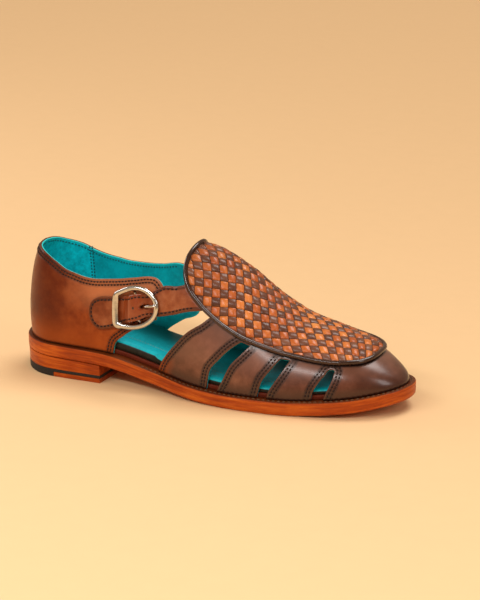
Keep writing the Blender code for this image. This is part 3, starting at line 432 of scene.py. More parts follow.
rubber, shader = new_finish("black_heel_rubber", 0.62, gloss=0.3)
grit = mottle(object_place(shader), 700.0, 3.0)
feed(shader, "Base Color", stains(grit, ((0.3, (0.010, 0.009, 0.008)), (0.8, (0.030, 0.026, 0.022)))))
raised(shader, grit, 0.00012, 0.6)
layer_levels = from_ground(
    (HEEL_SIDE + 0.0002, FRONT_LIFT_THICKNESS + FIT_GAP / 2), (HEEL_SIDE, FRONT_LIFT_THICKNESS + FIT_GAP),
    (HEEL_SIDE, LIFT_TOP), (HEEL_SIDE + 0.0002, LIFT_TOP + FIT_GAP / 2),
)
layer_piece = sole_layer("rubber_layer", 0.0, HEEL_BREAST, layer_levels, 70, ends="straight front")
dressed(layer_piece, rubber, stands_for=["heel_rubber"])
rear_levels = from_ground(
    (HEEL_SIDE + 0.0005, 0.0), (HEEL_SIDE + 0.0001, 0.0004), (HEEL_SIDE, 0.0010),
    (HEEL_SIDE, FRONT_LIFT_THICKNESS + FIT_GAP),
)
rear_piece = sole_layer("rubber_rear_lift", 0.0, RUBBER_REAR_LENGTH, rear_levels, 60, ends="straight front")
dressed(rear_piece, rubber, stands_for=["heel_rubber"])
front_levels = from_ground((HEEL_SIDE + 0.0004, 0.0), (HEEL_SIDE, 0.0005), (HEEL_SIDE, FRONT_LIFT_THICKNESS))
front_lift = sole_layer("leather_front_lift", RUBBER_REAR_LENGTH + FIT_GAP, HEEL_BREAST, front_levels, 40,
                        ends="straight both")
dressed(front_lift, sole_stain, stands_for=["heel_front_lift"])

# Insole and footbed: a red-brown leather insole on the welt, and over it a padded sock covered in soft
# turquoise leather, with a band of black leather round its side.
INSOLE_THICKNESS, FOOTBED_THICKNESS = 0.0030, 0.0066
UPPER_WALL, EDGE_CLEARANCE = 0.0022, 0.0005
FEATHER = WELT_TOP + FIT_GAP
FOOTBED_BASE = FEATHER + INSOLE_THICKNESS + FIT_GAP
BOARD_INSET = WELT_SHOW + UPPER_WALL + EDGE_CLEARANCE
BOARD_HEEL = WELT_SHOW_HEEL - WELT_SHOW
BAND_END = 0.117
# Padding of the footbed: station, share of its thickness.
PADDING = ((0.00, 1.00), (0.42, 1.00), (0.60, 0.70), (0.80, 0.55), (1.00, 0.45))


def padded_to(share):
    """Height of the footbed at a share of its padding, as a function of x."""

    def height(x):
        padding = eased(PADDING, 1, np.clip(x / SOLE_LENGTH, 0, 1))
        return underside(x) + FOOTBED_BASE + FOOTBED_THICKNESS * share * padding

    return height


insole_levels = (
    (BOARD_INSET + 0.0003, FEATHER - 0.0002), (BOARD_INSET, FEATHER + 0.0004),
    (BOARD_INSET, FEATHER + INSOLE_THICKNESS - 0.0004), (BOARD_INSET + 0.0004, FEATHER + INSOLE_THICKNESS),
)
insole_piece = sole_layer("insole_board", BOARD_HEEL, SOLE_LENGTH, insole_levels, heel_inset=BOARD_HEEL,
                          toe_extra=0.0016)
BOARD_STAINS = ((0.25, (0.060, 0.008, 0.003)), (0.55, (0.135, 0.020, 0.008)), (0.8, (0.22, 0.04, 0.015)))
board_leather = layered_leather("red_brown_insole_leather", BOARD_STAINS, 0.35)
dressed(insole_piece, board_leather, stands_for=["insole"])

footbed_levels = [
    (BOARD_INSET + inset, padded_to(share))
    for inset, share in ((0.0014, 0.00), (0.0010, 0.10), (0.0009, 0.45), (0.0012, 0.68), (0.0018, 0.84),
                         (0.0028, 0.94), (0.0044, 0.995), (0.0070, 1.0))
]
footbed_piece = sole_layer("padded_footbed", BOARD_HEEL, SOLE_LENGTH, footbed_levels, heel_inset=BOARD_HEEL,
                           toe_extra=0.0042)


def soft_turquoise(name, rough):
    """Turquoise lining leather, smooth with faint wrinkles: its finish, shader and colour."""
    finish, shader = new_finish(name, rough, gloss=0.25)
    place = object_place(shader)
    clouds, pores = mottle(place, 55.0, 4.0, 0.6), mottle(place, 420.0, 5.0, 0.7)
    share = plus(times(clouds, 0.6), times(pores, 0.4))
    raised(shader, pores, 0.00015, 0.6)
    return finish, shader, stains(share, ((0.4, (0.0004, 0.310, 0.370)), (0.6, (0.001, 0.480, 0.560))))


sock_leather, shader, turquoise = soft_turquoise("turquoise_sock_leather", 0.42)
spots = np.array([vertex.co[:] for vertex in footbed_piece.data.vertices]) + SHIFT
swell = FOOTBED_THICKNESS * eased(PADDING, 1, np.clip(spots[:, 0] / SOLE_LENGTH, 0, 1))
pad_share = (spots[:, 2] - underside(spots[:, 0]) - FOOTBED_BASE) / swell
mark(footbed_piece, "pad", pad_share + 0.24 * np.clip((spots[:, 0] - BAND_END) / 0.003, 0, 1))
band = fade(marked(shader, "pad")["Fac"], 0.84, 0.76)
# painted shade: the turquoise darkens towards the inner side of the footbed, the side the upper keeps light
# from
far_side_shade = fade(split(object_place(shader))["Y"], -0.022, 0.006)
turquoise = over(times(far_side_shade, 0.85), turquoise, (0.0003, 0.085, 0.088))
clouds = mottle(object_place(shader), 160.0)
black = stains(clouds, ((0.3, (0.006, 0.006, 0.004)), (0.8, (0.022, 0.020, 0.014))))
feed(shader, "Base Color", over(band, turquoise, black))
dressed(footbed_piece, sock_leather, stands_for=["footbed"])
SOCK_SEAM_FROM, SOCK_SEAM_TO, SOCK_SEAM_INSET, SOCK_SEAM_HEEL = 0.030, 0.235, 0.0125, 0.0110
x = np.linspace(SOCK_SEAM_FROM, SOCK_SEAM_TO, 500)
seam_y = sole_edges(x, BOARD_INSET + SOCK_SEAM_INSET, BOARD_INSET + SOCK_SEAM_HEEL)[0]
seam_path = np.stack([x, seam_y, padded_to(1.0)(x) + 0.00002], 1)
seam_row = stitch_row(seam_path, np.tile((0.0, 0.0, 1.0), (500, 1)), 0.0022, 0.0019, 0.00022)
sock_thread = thread_finish("pale_sock_thread", (0.16, 0.22, 0.17))
stitched("footbed_seam", [seam_row], sock_thread)

# Upper: brown calf cut in one run of quarters, crosswise strips and toe, lasted over the form and cemented
# under the rim of the sole. Its cut edges are stained and turned thin, and a darker burnished band follows
# them under two rows of stitching. The same skin goes on under the woven apron.
INSTEP_HEIGHT = 0.0905
HEEL_FAN, HEEL_PIVOT, HEEL_BEND = 0.120, 0.046, 1.6
TOE_DOME, DOME_CORNER = 0.040, 2.1
BACK_REACH, BACK_SIDE = 0.075, 0.6
LAST_BACK, LAST_TOE = WELT_SHOW_HEEL, SOLE_LENGTH - WELT_SHOW
OUTER_LEATHER = 0.0013
SKIN_GRID, CUT_GRID, SEAM_GRID = 0.0019, 0.0012, 0.0006
CUT_ROUND = 0.00045
QUARTER_END, QUARTER_BLEND = 0.136, 0.012
INNER_STRAP_FROM, INNER_STRAP_TO, INNER_STRAP_RISE, INNER_STRAP_DROP = 0.120, 0.156, 0.19, 0.0006
STITCH_ROWS = (0.0021, 0.0043)
THREAD_PITCH, THREAD_STITCH, THREAD_RADIUS = 0.0025, 0.0022, 0.00060
RIDGE = (
    (0.0, 1.304, 0.0, 2.6, 2.6), (0.2, 1.26, 0.0, 2.6, 2.6), (0.367, 1.185, 0.01, 2.5, 2.5),
    (0.433, 1.146, 0.01, 2.3, 2.3), (0.5, 1.106, 0.015, 2.15, 2.15), (0.577, 0.973, 0.031, 2.0, 2.0),
    (0.647, 0.777, 0.051, 2.0, 2.1), (0.72, 0.621, 0.077, 2.1, 2.2), (0.8, 0.54, 0.092, 2.2, 2.3),
    (0.883, 0.472, 0.087, 2.3, 2.3), (1.0, 0.348, 0.071, 2.3, 2.3),
)
BACK_CURVE = (
    (0.0000, 0.0000), (0.0120, -0.0012), (0.0250, -0.0016), (0.0400, -0.0015), (0.0550, -0.0015),
    (0.0700, -0.0010), (0.0900, 0.0030),
)
APRON_OUTER = (
    (0.457, 1.0), (0.4562, 0.93), (0.4545, 0.85), (0.4522, 0.739), (0.4545, 0.643), (0.462, 0.558),
    (0.477, 0.492), (0.501, 0.444), (0.525, 0.414), (0.553, 0.396), (0.585, 0.382), (0.621, 0.382),
    (0.66, 0.398), (0.706, 0.415), (0.748, 0.422), (0.802, 0.42), (0.852, 0.44), (0.889, 0.515),
    (0.908, 0.64), (0.917, 0.8), (0.919, 1.0),
)
APRON_INNER = (
    (0.457, 1.0), (0.4562, 0.93), (0.4545, 0.85), (0.4522, 0.739), (0.4545, 0.643), (0.462, 0.558),
    (0.477, 0.492), (0.501, 0.452), (0.525, 0.432), (0.553, 0.424), (0.585, 0.422), (0.621, 0.43),
    (0.66, 0.45), (0.706, 0.47), (0.748, 0.486), (0.802, 0.5), (0.852, 0.52), (0.884, 0.58),
    (0.904, 0.69), (0.9155, 0.84), (0.919, 1.0),
)
COLLAR_OUTER = (
    (0.411, 0.43), (0.405, 0.452), (0.397, 0.47), (0.387, 0.478), (0.377, 0.473), (0.335, 0.422),
    (0.296, 0.377), (0.257, 0.347), (0.23, 0.333), (0.203, 0.333), (0.176, 0.346), (0.144, 0.368),
    (0.122, 0.399), (0.088, 0.44), (0.045, 0.472), (0.01, 0.488),
)
COLLAR_INNER = (
    (0.411, 0.456), (0.405, 0.461), (0.397, 0.466), (0.387, 0.467), (0.377, 0.461), (0.335, 0.405),
    (0.296, 0.366), (0.257, 0.342), (0.23, 0.334), (0.203, 0.336), (0.176, 0.338), (0.144, 0.348),
    (0.122, 0.362), (0.088, 0.394), (0.045, 0.434), (0.01, 0.484),
)
STRAP_TOP = ((0.411, 0.456), (0.438, 0.482), (0.4626, 0.553))
STRAP_BOTTOM_INNER = ((0.426, 0.2), (0.455, 0.285), (0.489, 0.368), (0.515, 0.44))
QUARTER_LOWER_INNER = (
    (0.426, 0.2), (0.417, 0.16), (0.403, 0.134), (0.385, 0.11), (0.371, 0.086), (0.357, 0.064),
    (0.338, 0.034), (0.324, 0.01), (0.32, 0.0),
)
QUARTER_FRONT = ((0.411, 0.43), (0.406, 0.36), (0.401, 0.29), (0.396, 0.221))
QUARTER_LOWER = (
    (0.396, 0.221), (0.357, 0.151), (0.328, 0.106), (0.301, 0.06), (0.284, 0.03), (0.278, 0.0),
)
STRIP_BACK = (
    (0.404, 0.0), (0.409, 0.02), (0.421, 0.06), (0.445, 0.131), (0.484, 0.246), (0.521, 0.337),
    (0.54, 0.402),
)
SLOT_ONE_BACK = (
    (0.5405, 0.0), (0.543, 0.03), (0.55, 0.106), (0.572, 0.186), (0.601, 0.291), (0.623, 0.372),
)
SLOT_ONE_FRONT = (
    (0.644, 0.382), (0.626, 0.286), (0.601, 0.176), (0.584, 0.075), (0.574, 0.025), (0.57, 0.0),
)
SLOT_TWO_BACK = ((0.672, 0.0), (0.675, 0.045), (0.684, 0.151), (0.699, 0.246), (0.719, 0.395))
SLOT_TWO_FRONT = ((0.741, 0.405), (0.726, 0.256), (0.711, 0.141), (0.699, 0.055), (0.696, 0.0))
SLOT_THREE = (
    (0.8, 0.0), (0.804, 0.085), (0.814, 0.186), (0.826, 0.296), (0.838, 0.385), (0.842, 0.385),
    (0.8455, 0.307), (0.8405, 0.171), (0.831, 0.045), (0.828, 0.0),
)
QUARTER_FRONT_INNER = ((0.4110, 0.430), (0.4160, 0.360), (0.4230, 0.280), (0.4260, 0.200))


def last_surface(x, side, rise):
    """Point on the last: x of the feather point, side -1 outer or 1 inner, rise 0 feather to 1 ridge."""
    x, side, rise = (np.asarray(value, float) for value in np.broadcast_arrays(x, side, rise))
    outer, inner = sole_edges(x, WELT_SHOW, WELT_SHOW_HEEL)
    edge = np.where(side < 0, outer, inner)
    middle = (outer + inner) / 2
    along = np.clip((x - LAST_BACK) / (HEEL_FAN - LAST_BACK), 0, 1)
    spine = x + (HEEL_PIVOT - x) * (1 - along) ** HEEL_BEND
    share = spine / SOLE_LENGTH
    dome = round_end(np.clip((spine - (LAST_TOE - TOE_DOME)) / TOE_DOME, 0, 1), DOME_CORNER)
    base = underside(x) + FEATHER
    top = base + (eased(RIDGE, 1, share) * INSTEP_HEIGHT - base) * dome
    ridge = eased(RIDGE, 2, share) * BALL_WIDTH
    ridge = np.where(share > 0.66, middle + (ridge - middle) * dome, ridge)
    full = np.where(side < 0, eased(RIDGE, 3, share), eased(RIDGE, 4, share))
    turn = np.clip(rise, 0, 1) * np.pi / 2
    out = np.maximum(np.cos(turn), 0) ** (2 / full)
    up = np.maximum(np.sin(turn), 0) ** (2 / full)
    reach_x, reach_y = x - spine, edge - ridge
    length = np.hypot(reach_x, reach_y) + 1e-9
    z = base + (top - base) * up
    lean = eased(BACK_CURVE, 1, np.clip(z - base, 0, BACK_CURVE[-1][0]))
    lean = -lean * np.clip(1 - (x - LAST_BACK) / BACK_REACH, 0, 1) ** 2
    px = spine + reach_x * out + reach_x / length * lean
    py = ridge + reach_y * out + reach_y / length * lean * BACK_SIDE
    return np.stack([px, py, z], -1)


def on_last(places):
    return last_surface(places[:, 0], places[:, 1], places[:, 2])


def surface_normals(places):
    x, side, rise = places[:, 0], places[:, 1], places[:, 2]
    dx = np.minimum(0.0004, np.maximum(LAST_TOE - x, 1e-5) * 0.5)
    dx = np.where(x - LAST_BACK < 0.0004, np.maximum(x - LAST_BACK, 1e-5) * 0.5, dx)
    x = np.clip(x, LAST_BACK + 2e-5, LAST_TOE - 2e-5)
    low, high = np.maximum(rise - 0.004, 0), np.minimum(rise + 0.004, 1)
    along = last_surface(x + dx, side, rise) - last_surface(x - dx, side, rise)
    upward = last_surface(x, side, high) - last_surface(x, side, low)
    normal = np.cross(along, upward) * -side[:, None]
    return normal / np.maximum(np.linalg.norm(normal, axis=1)[:, None], 1e-12)


TOE_FROM = 0.20
TOE_RUN = np.linspace(TOE_FROM, LAST_TOE - 1e-5, 4000)
TOE_LENGTH = TOE_FROM + sum(run_length(last_surface(TOE_RUN, -1.0, rise)) / 3 for rise in (0.0, 0.45, 1.0))


def unrolled(places):
    """Places laid flat, measured along their section from the ridge."""
    x, side, rise = places.T
    steps = np.linspace(0, 1, 25)
    levels = 1 - (1 - rise[:, None]) * steps[None, :]
    points = last_surface(x[:, None], side[:, None], levels)
    arc = np.linalg.norm(np.diff(points, axis=1), axis=2).sum(1)
    foot = last_surface(x, side, np.zeros_like(x))
    ridge = last_surface(x, side, np.ones_like(x))
    way = foot[:, :2] - ridge[:, :2]
    way = way / (np.linalg.norm(way, axis=1)[:, None] + 1e-9)
    return ridge[:, :2] + way * arc[:, None]


def pattern(places):
    """Places laid flat with the toe drawn out to its true length."""
    flat = unrolled(places)
    stretched = np.interp(flat[:, 0], TOE_RUN, TOE_LENGTH)
    return np.stack([np.where(flat[:, 0] > TOE_FROM, stretched, flat[:, 0]), flat[:, 1]], 1)


def spaced(run, step):
    """A run of places resampled to even steps over the last."""
    length = run_length(on_last(run))
    count = max(2, int(round(length[-1] / step)) + 1)
    at = np.linspace(0, length[-1], count)
    return np.stack([np.interp(at, length, run[:, i]) for i in range(3)], 1)


def line(table, side, step=CUT_GRID):
    """A pattern line as evenly spaced places (x, side, rise), eased through the rows of its table."""
    rows = np.array(table, float)
    chord = np.r_[0, np.cumsum(np.hypot(np.diff(rows[:, 0]) * 3, np.diff(rows[:, 1])))]
    fine = np.linspace(0, chord[-1], 900)
    x = hermite(chord, rows[:, 0], np.gradient(rows[:, 0], chord), fine) * SOLE_LENGTH
    rise = np.clip(hermite(chord, rows[:, 1], np.gradient(rows[:, 1], chord), fine), 0, 1)
    return spaced(np.stack([x, np.full_like(x, side), rise], 1), step)


def feather_line(start, end, side, step=CUT_GRID):
    """The line where the last meets the sole, between two stations."""
    x = start + (end - start) * (1 - np.cos(np.linspace(0, np.pi, 1500))) / 2
    return spaced(np.stack([x, np.full_like(x, side), np.zeros_like(x)], 1), step)


def back(run):
    return run[::-1]


def chained(*runs):
    """Runs joined end to start into one loop, each shared place kept once."""
    return np.vstack([run[:-1] for run in runs])


def looped(loop):
    """A run closed on itself."""
    return np.vstack([loop, loop[:1]])


def inside(points, loop):
    """Which points lie inside a flat closed loop."""
    a, b = loop, np.roll(loop, -1, axis=0)
    found = np.zeros(len(points), int)
    for (ax, ay), (bx, by) in zip(a, b):
        if ay != by:
            near = (ay > points[:, 1]) != (by > points[:, 1])
            found[near] += points[near, 0] < ax + (points[near, 1] - ay) * (bx - ax) / (by - ay)
    return found % 2 == 1


def search_tree(points):
    """Tree that finds the nearest of some points; flat ones lie at height 0."""
    tree = KDTree(len(points))
    for i, point in enumerate(points):
        tree.insert((*point, 0.0)[:3], i)
    tree.balance()
    return tree


def gaps(points, others):
    """Distance from each point to the nearest of the others."""
    tree = search_tree(others)
    return np.array([tree.find(point)[2] for point in points])


def lattice(step):
    """Evenly laid places on the last, on both sides, spaced by true length along its outline."""
    fine = (1 - np.cos(np.linspace(0, np.pi, 3000))) / 2
    x = LAST_BACK + 1e-5 + (LAST_TOE - LAST_BACK - 2e-5) * fine
    length = run_length(last_surface(x, -1.0, 0.25))
    stations = np.interp(np.arange(0.5, length[-1] / step) * step, length, x)
    levels = np.linspace(0, 1, 60)
    found = []
    for i, x in enumerate(stations):
        for side in (-1, 1):
            length = run_length(last_surface(x, side, levels))
            count = max(2, int(round(length[-1] / step)))
            at = (np.arange(count) + 0.25 + 0.5 * (i % 2)) / count * length[-1]
            found += [(x, side, rise) for rise in np.interp(at, length, levels)]
    return np.array(found)


def cut_skin(loops, step):
    """Places and triangles of the last's skin inside the first loop and outside the others."""
    flats = [pattern(loop) for loop in loops]

    def wanted(flat):
        return inside(flat, flats[0]) & ~np.any([inside(flat, hole) for hole in flats[1:]], axis=0)

    inner = lattice(step)
    flat = pattern(inner)
    keep = wanted(flat)
    inner, flat = inner[keep], flat[keep]
    border = np.vstack([on_last(spaced(looped(loop), step * 0.4)) for loop in loops])
    keep = gaps(on_last(inner), border) > step * 0.55
    places, flat = np.vstack(loops + [inner[keep]]), np.vstack(flats + [flat[keep]])
    edges, start = [], 0
    for loop in loops:
        edges += [(start + i, start + (i + 1) % len(loop)) for i in range(len(loop))]
        start += len(loop)
    result = delaunay_2d_cdt([Vector(p) for p in flat * 100.0], edges, [], 0, 1e-7, True)
    verts = np.array([v[:] for v in result[0]]) / 100.0
    index = np.array([group[0] if group else -1 for group in result[3]])
    faces = np.array([f for f in result[2] if len(f) == 3])
    faces = index[faces[wanted(verts[faces].mean(1))]]
    return places, faces[(faces >= 0).all(1)]


def inward(points, normals, flats):
    """For each border point, the direction into the piece, along the surface."""
    found, start = np.zeros_like(points), 0
    for number, flat in enumerate(flats):
        here = slice(start, start + len(flat))
        ahead = np.roll(points[here], -1, axis=0) - np.roll(points[here], 1, axis=0)
        across = np.cross(normals[here], ahead / (np.linalg.norm(ahead, axis=1)[:, None] + 1e-12))
        across /= np.linalg.norm(across, axis=1)[:, None] + 1e-12
        area = (flat[:, 0] * np.roll(flat[:, 1], -1) - np.roll(flat[:, 0], -1) * flat[:, 1]).sum()
        found[here] = across * (np.sign(area) if number == 0 else -np.sign(area))
        start += len(flat)
    return found


def cut_piece(name, loops, skin, top, bottom, round_by=CUT_ROUND):
    """A cut of leather between two distances from the last, its upper edge rounded over."""
    places, faces = skin
    points, normals = on_last(places), surface_normals(places)
    lean = inward(points, normals, [pattern(loop) for loop in loops])
    total, rim = len(points), sum(len(loop) for loop in loops)
    top, bottom = np.broadcast_to(top, total), np.broadcast_to(bottom, total)
    above, below = points + normals * top[:, None], points + normals * bottom[:, None]
    above[:rim] += lean[:rim] * round_by
    shoulder = points[:rim] + normals[:rim] * (top[:rim, None] - round_by * 0.3) + lean[:rim] * round_by * 0.3
    edge = points[:rim] + normals[:rim] * (top[:rim, None] - round_by)
    ahead, start = np.zeros(rim, int), 0
    for count in map(len, loops):
        ahead[start : start + count] = start + (np.arange(count) + 1) % count
        start += count
    here = np.arange(rim)
    offsets = (0, 2 * total, 2 * total + rim, total)
    strips = [np.stack([a + here, a + ahead, b + ahead, b + here], 1) for a, b in zip(offsets, offsets[1:])]
    everything = faces.tolist() + (faces[:, ::-1] + total).tolist() + np.vstack(strips).tolist()
    made = mesh_piece(name, np.vstack([above, below, shoulder, edge]), everything, sharp=50.0)
    return made, np.r_[np.arange(total), np.arange(total), here, here]


def moved(places, vector):
    """Places shifted over the surface by a vector of space."""
    for _ in range(2):
        x, side, rise = places.T
        here = on_last(places)
        toward = np.where(rise > 0.5, -1, 1)
        by_x = (last_surface(x + 2e-4, side, rise) - here) / 2e-4
        by_rise = (last_surface(x, side, rise + 2e-3 * toward) - here) / 2e-3 * toward[:, None]
        a, b, c = (by_x * by_x).sum(1), (by_x * by_rise).sum(1), (by_rise * by_rise).sum(1)
        p, q = (by_x * vector / 2).sum(1), (by_rise * vector / 2).sum(1)
        size = a * c - b * b
        dx, drise = (c * p - b * q) / size, (a * q - b * p) / size
        places = np.stack([x + dx, side, np.clip(rise + drise, 0, 1)], 1)
    return places


def beside(run, distance):
    """The run shifted sideways over the surface; a positive distance goes to its left seen from outside."""
    ahead = unit(np.gradient(on_last(run), axis=0))
    return moved(run, unit(np.cross(surface_normals(run), ahead)) * distance)


def share_inside(run, distance, ring):
    """How much of a run, shifted sideways, falls inside a flat ring."""
    return inside(pattern(beside(run, distance)[4:-4]), ring).mean()


def seam_rows(run, rows, height):
    """Stitches beside a cut edge, on a skin at a height over the last."""
    found = []
    for distance in rows:
        row = beside(run, distance)
        normals = surface_normals(row)
        path, ups = on_last(row) + normals * height, normals * np.sign(height + 1e-9)
        found.append(stitch_row(path, ups, THREAD_PITCH, THREAD_STITCH, THREAD_RADIUS))
    return found


def end_place(table, row=-1):
    return table[row][0] * SOLE_LENGTH


def side_openings(side):
    """From the toe back along one side to the apron: feather, slot three, two and one, strip edge."""
    runs = [feather_line(LAST_TOE, end_place(SLOT_THREE), side), back(line(SLOT_THREE, side))]
    foot = SLOT_THREE
    for front, rear in ((SLOT_TWO_FRONT, SLOT_TWO_BACK), (SLOT_ONE_FRONT, SLOT_ONE_BACK)):
        top = np.vstack([line(front, side, 1)[:1], line(rear, side, 1)[-1:]])
        runs += [feather_line(end_place(foot, 0), end_place(front), side), back(line(front, side)),
                 spaced(top, CUT_GRID), back(line(rear, side))]
        foot = rear
    return runs + [feather_line(end_place(foot, 0), end_place(STRIP_BACK, 0), side), line(STRIP_BACK, side)]


def apron_part(table, side, first, final, step=CUT_GRID):
    """Piece of the apron's outline between two stations."""
    run = line(table, side, 0.0004)
    a, b = (
        int(np.argmin(np.hypot((run[:, 0] / SOLE_LENGTH - station) * 3, run[:, 2] - rise)))
        for station, rise in (first, final)
    )
    part = run[a : b + 1] if a < b else run[b : a + 1][::-1]
    ends = spaced(part, step)
    ends[0] = (first[0] * SOLE_LENGTH, side, first[1])
    ends[-1] = (final[0] * SOLE_LENGTH, side, final[1])
    return ends


THROAT = APRON_OUTER[0]
upper_loop = chained(
    *side_openings(-1),
    apron_part(APRON_OUTER, -1, STRIP_BACK[-1], THROAT),
    apron_part(APRON_INNER, 1, THROAT, STRAP_TOP[-1]),
    back(line(STRAP_TOP, 1)),
    line(COLLAR_INNER, 1),
    back(line(COLLAR_OUTER, -1)),
    line(QUARTER_FRONT, -1),
    line(QUARTER_LOWER, -1),
    feather_line(end_place(QUARTER_LOWER), LAST_BACK, -1),
    feather_line(LAST_BACK, end_place(QUARTER_LOWER_INNER), 1),
    back(line(QUARTER_LOWER_INNER, 1)),
    line(STRAP_BOTTOM_INNER, 1),
    apron_part(APRON_INNER, 1, STRAP_BOTTOM_INNER[-1], STRIP_BACK[-1]),
    *[back(run) for run in reversed(side_openings(1))],
)
upper_skin = cut_skin([upper_loop], SKIN_GRID)
places = upper_skin[0]
on_skin = on_last(places)


def quarter_edge(collar, front, lower, side):
    """The stitched edge of a quarter: along the collar, down the front and to the sole."""
    runs = [line(table, side, SEAM_GRID) for table in (collar, front, lower)]
    return np.vstack([back(runs[0]), runs[1][1:], runs[2][1:]])


# the cut edges that carry two rows of stitches
outer_quarter = quarter_edge(COLLAR_OUTER, QUARTER_FRONT, QUARTER_LOWER, -1)
inner_quarter = quarter_edge(COLLAR_INNER, QUARTER_FRONT_INNER, QUARTER_LOWER_INNER, 1)
stitched_runs = [outer_quarter, inner_quarter]
stitched_runs += [line(table, 1, SEAM_GRID) for table in (STRAP_TOP, STRAP_BOTTOM_INNER)]
stitched_runs += [
    line(table, side, SEAM_GRID)
    for side in (-1, 1)
    for table in (SLOT_ONE_BACK, SLOT_ONE_FRONT, SLOT_TWO_BACK, SLOT_TWO_FRONT, SLOT_THREE, STRIP_BACK)
]
seam_gap = gaps(on_skin, np.vstack([on_last(run) for run in stitched_runs]))
apron_edge = np.vstack([line(APRON_OUTER, -1, SEAM_GRID), line(APRON_INNER, 1, SEAM_GRID)])
apron_ring = pattern(np.vstack([back(line(APRON_OUTER, -1, 0.0015))[:-1], line(APRON_INNER, 1, 0.0015)[:-1]]))
apron_gap = gaps(on_skin, on_last(apron_edge)) * np.where(inside(pattern(places), apron_ring), -1, 1)
feather = np.vstack([on_last(feather_line(LAST_BACK, LAST_TOE, side, SEAM_GRID)) for side in (-1, 1)])
foot_gap = gaps(on_skin, feather)
x, side, rise = places.T
quarter = np.clip((QUARTER_END - x) / QUARTER_BLEND, 0, 1) * (rise < 0.9)

# On the inner side the strap comes out from under the quarter's rounded end, so it lies lower.
strap_band = (side > 0) & (x > INNER_STRAP_FROM) & (x < INNER_STRAP_TO) & (rise > INNER_STRAP_RISE)
front_run = back(line(QUARTER_FRONT_INNER, 1, 0.0004))
ahead_of = x - np.interp(rise, front_run[:, 2], front_run[:, 0])
lowered = np.where(strap_band, np.clip(ahead_of / 0.0012 + 0.5, 0, 1), 0.0)
outer_piece, source = cut_piece("calf_upper", [upper_loop], upper_skin, -INNER_STRAP_DROP * lowered,
                                -OUTER_LEATHER)
rim_gap = gaps(on_skin, on_last(spaced(looped(upper_loop), 0.0004)))
rim_gap[: len(upper_loop)] = 0.0
mark(outer_piece, "edges", np.stack([seam_gap, rim_gap, apron_gap], 1)[source] * 1000)
mark(outer_piece, "zones", np.stack([quarter, foot_gap * 1000, lowered], 1)[source])


def grained_leather(name, ramps, rough, coat):
    """Burnished calf: cloudy stain, pores and fine creases, a waxed top coat; a colour for each ramp."""
    finish, shader = new_finish(name, rough, coat=coat, coat_rough=0.20, gloss=0.15)
    place = object_place(shader)
    clouds, spots = mottle(place, 30.0, 5.0, 0.6), mottle(place, 150.0, 4.0, 0.6)
    share = plus(times(clouds, 0.65), times(spots, 0.35))
    colours = [stains(share, stops) for stops in ramps]
    pores = patch("TexVoronoi", {"Vector": place, "Scale": 1500.0}).outputs["Distance"]
    creases = mottle(place, 700.0, 5.0, 0.65)
    raised(shader, plus(times(pores, 0.5), creases), 0.00006, 0.55)
    raised(shader, clouds, 0.0012, 0.35)
    feed(shader, "Roughness", plus(rough - 0.06, times(fade(spots, 0.35, 0.75), 0.16)))
    return finish, shader, colours, place


def seam_dip(gap, rows, width):
    """Groove pressed in by the stitch rows: zero on them, one beside them."""
    dips = [fade(reckon("ABSOLUTE", less(gap, row)), 0.0, width) for row in rows]
    return reckon("MINIMUM", dips[0], dips[1]) if len(dips) > 1 else dips[0]


def layers(colour, *lays):
    """Stains laid over a colour in turn: where each goes, how strongly, and its own colour."""
    for share, amount, stain in lays:
        colour = over(times(share, amount), colour, stain)
    return colour


QUARTER_STAIN = ((0.32, (0.090, 0.010, 0.001)), (0.45, (0.200, 0.028, 0.002)), (0.56, (0.300, 0.056, 0.007)),
                 (0.70, (0.440, 0.115, 0.026)))
STRIP_STAIN = ((0.30, (0.044, 0.009, 0.003)), (0.46, (0.088, 0.021, 0.007)), (0.56, (0.135, 0.038, 0.017)),
               (0.72, (0.250, 0.090, 0.047)))
ROWS_MM = [row * 1000 for row in STITCH_ROWS]
calf, shader, (quarter_colour, strip_colour), place = grained_leather(
    "burnished_calf", (QUARTER_STAIN, STRIP_STAIN), 0.38, 0.16
)
seam_mm, rim_mm, apron_mm = split(marked(shader, "edges")["Vector"])
on_quarter, foot_mm, _ = split(marked(shader, "zones")["Vector"])
on_strips = less(1.0, on_quarter)
forward = plus(split(place)["X"], times(less(mottle(place, 45.0), 0.5), 0.03))
upper_front = times(times(fade(forward, -0.108, -0.078), on_quarter), fade(foot_mm, 24.0, 42.0))
uneven = times(less(mottle(place, 260.0), 0.5), 1.6)
colour = layers(
    over(on_quarter, strip_colour, quarter_colour),
    # dark back of the heel, warm glow low on the quarter, paler front of the quarter, dark tip of the toe
    (fade(forward, -0.080, -0.120), 0.74, (0.070, 0.008, 0.001)),
    (times(fade(foot_mm, 26.0, 4.0), on_quarter), 0.45, (0.420, 0.075, 0.004)),
    (upper_front, 0.80, (0.560, 0.190, 0.075)),
    (fade(forward, 0.118, 0.146), 0.35, (0.050, 0.014, 0.007)),
    # painted sheen, paler and greyer, high on the strips; painted shade at the foot of the strips; a painted
    # shadow line where the upper meets the welt
    (times(fade(foot_mm, 8.0, 26.0), on_strips), 0.42, (0.260, 0.115, 0.075)),
    (times(fade(foot_mm, 12.0, 2.0), on_strips), 0.92, (0.050, 0.011, 0.004)),
    (fade(foot_mm, 2.2, 0.2), 0.85, (0.020, 0.006, 0.003)),
    # burnished band along the cut edges, painted shade in the stitch grooves, painted shade on the skin under
    # the weave, stained cut edge
    (fade(plus(seam_mm, uneven), 6.6, 5.2), less(0.62, times(on_quarter, 0.27)), (0.026, 0.007, 0.003)),
    (less(1.0, seam_dip(seam_mm, ROWS_MM, 0.75)), 0.55, (0.012, 0.003, 0.002)),
    (fade(apron_mm, 1.5, -0.5), 1.0, (0.014, 0.006, 0.004)),
    (times(fade(rim_mm, 0.75, 0.25), fade(foot_mm, 0.5, 2.0)), 0.28, (0.200, 0.052, 0.016)),
)
feed(shader, "Coat Weight", plus(0.14, times(on_strips, 0.66)))
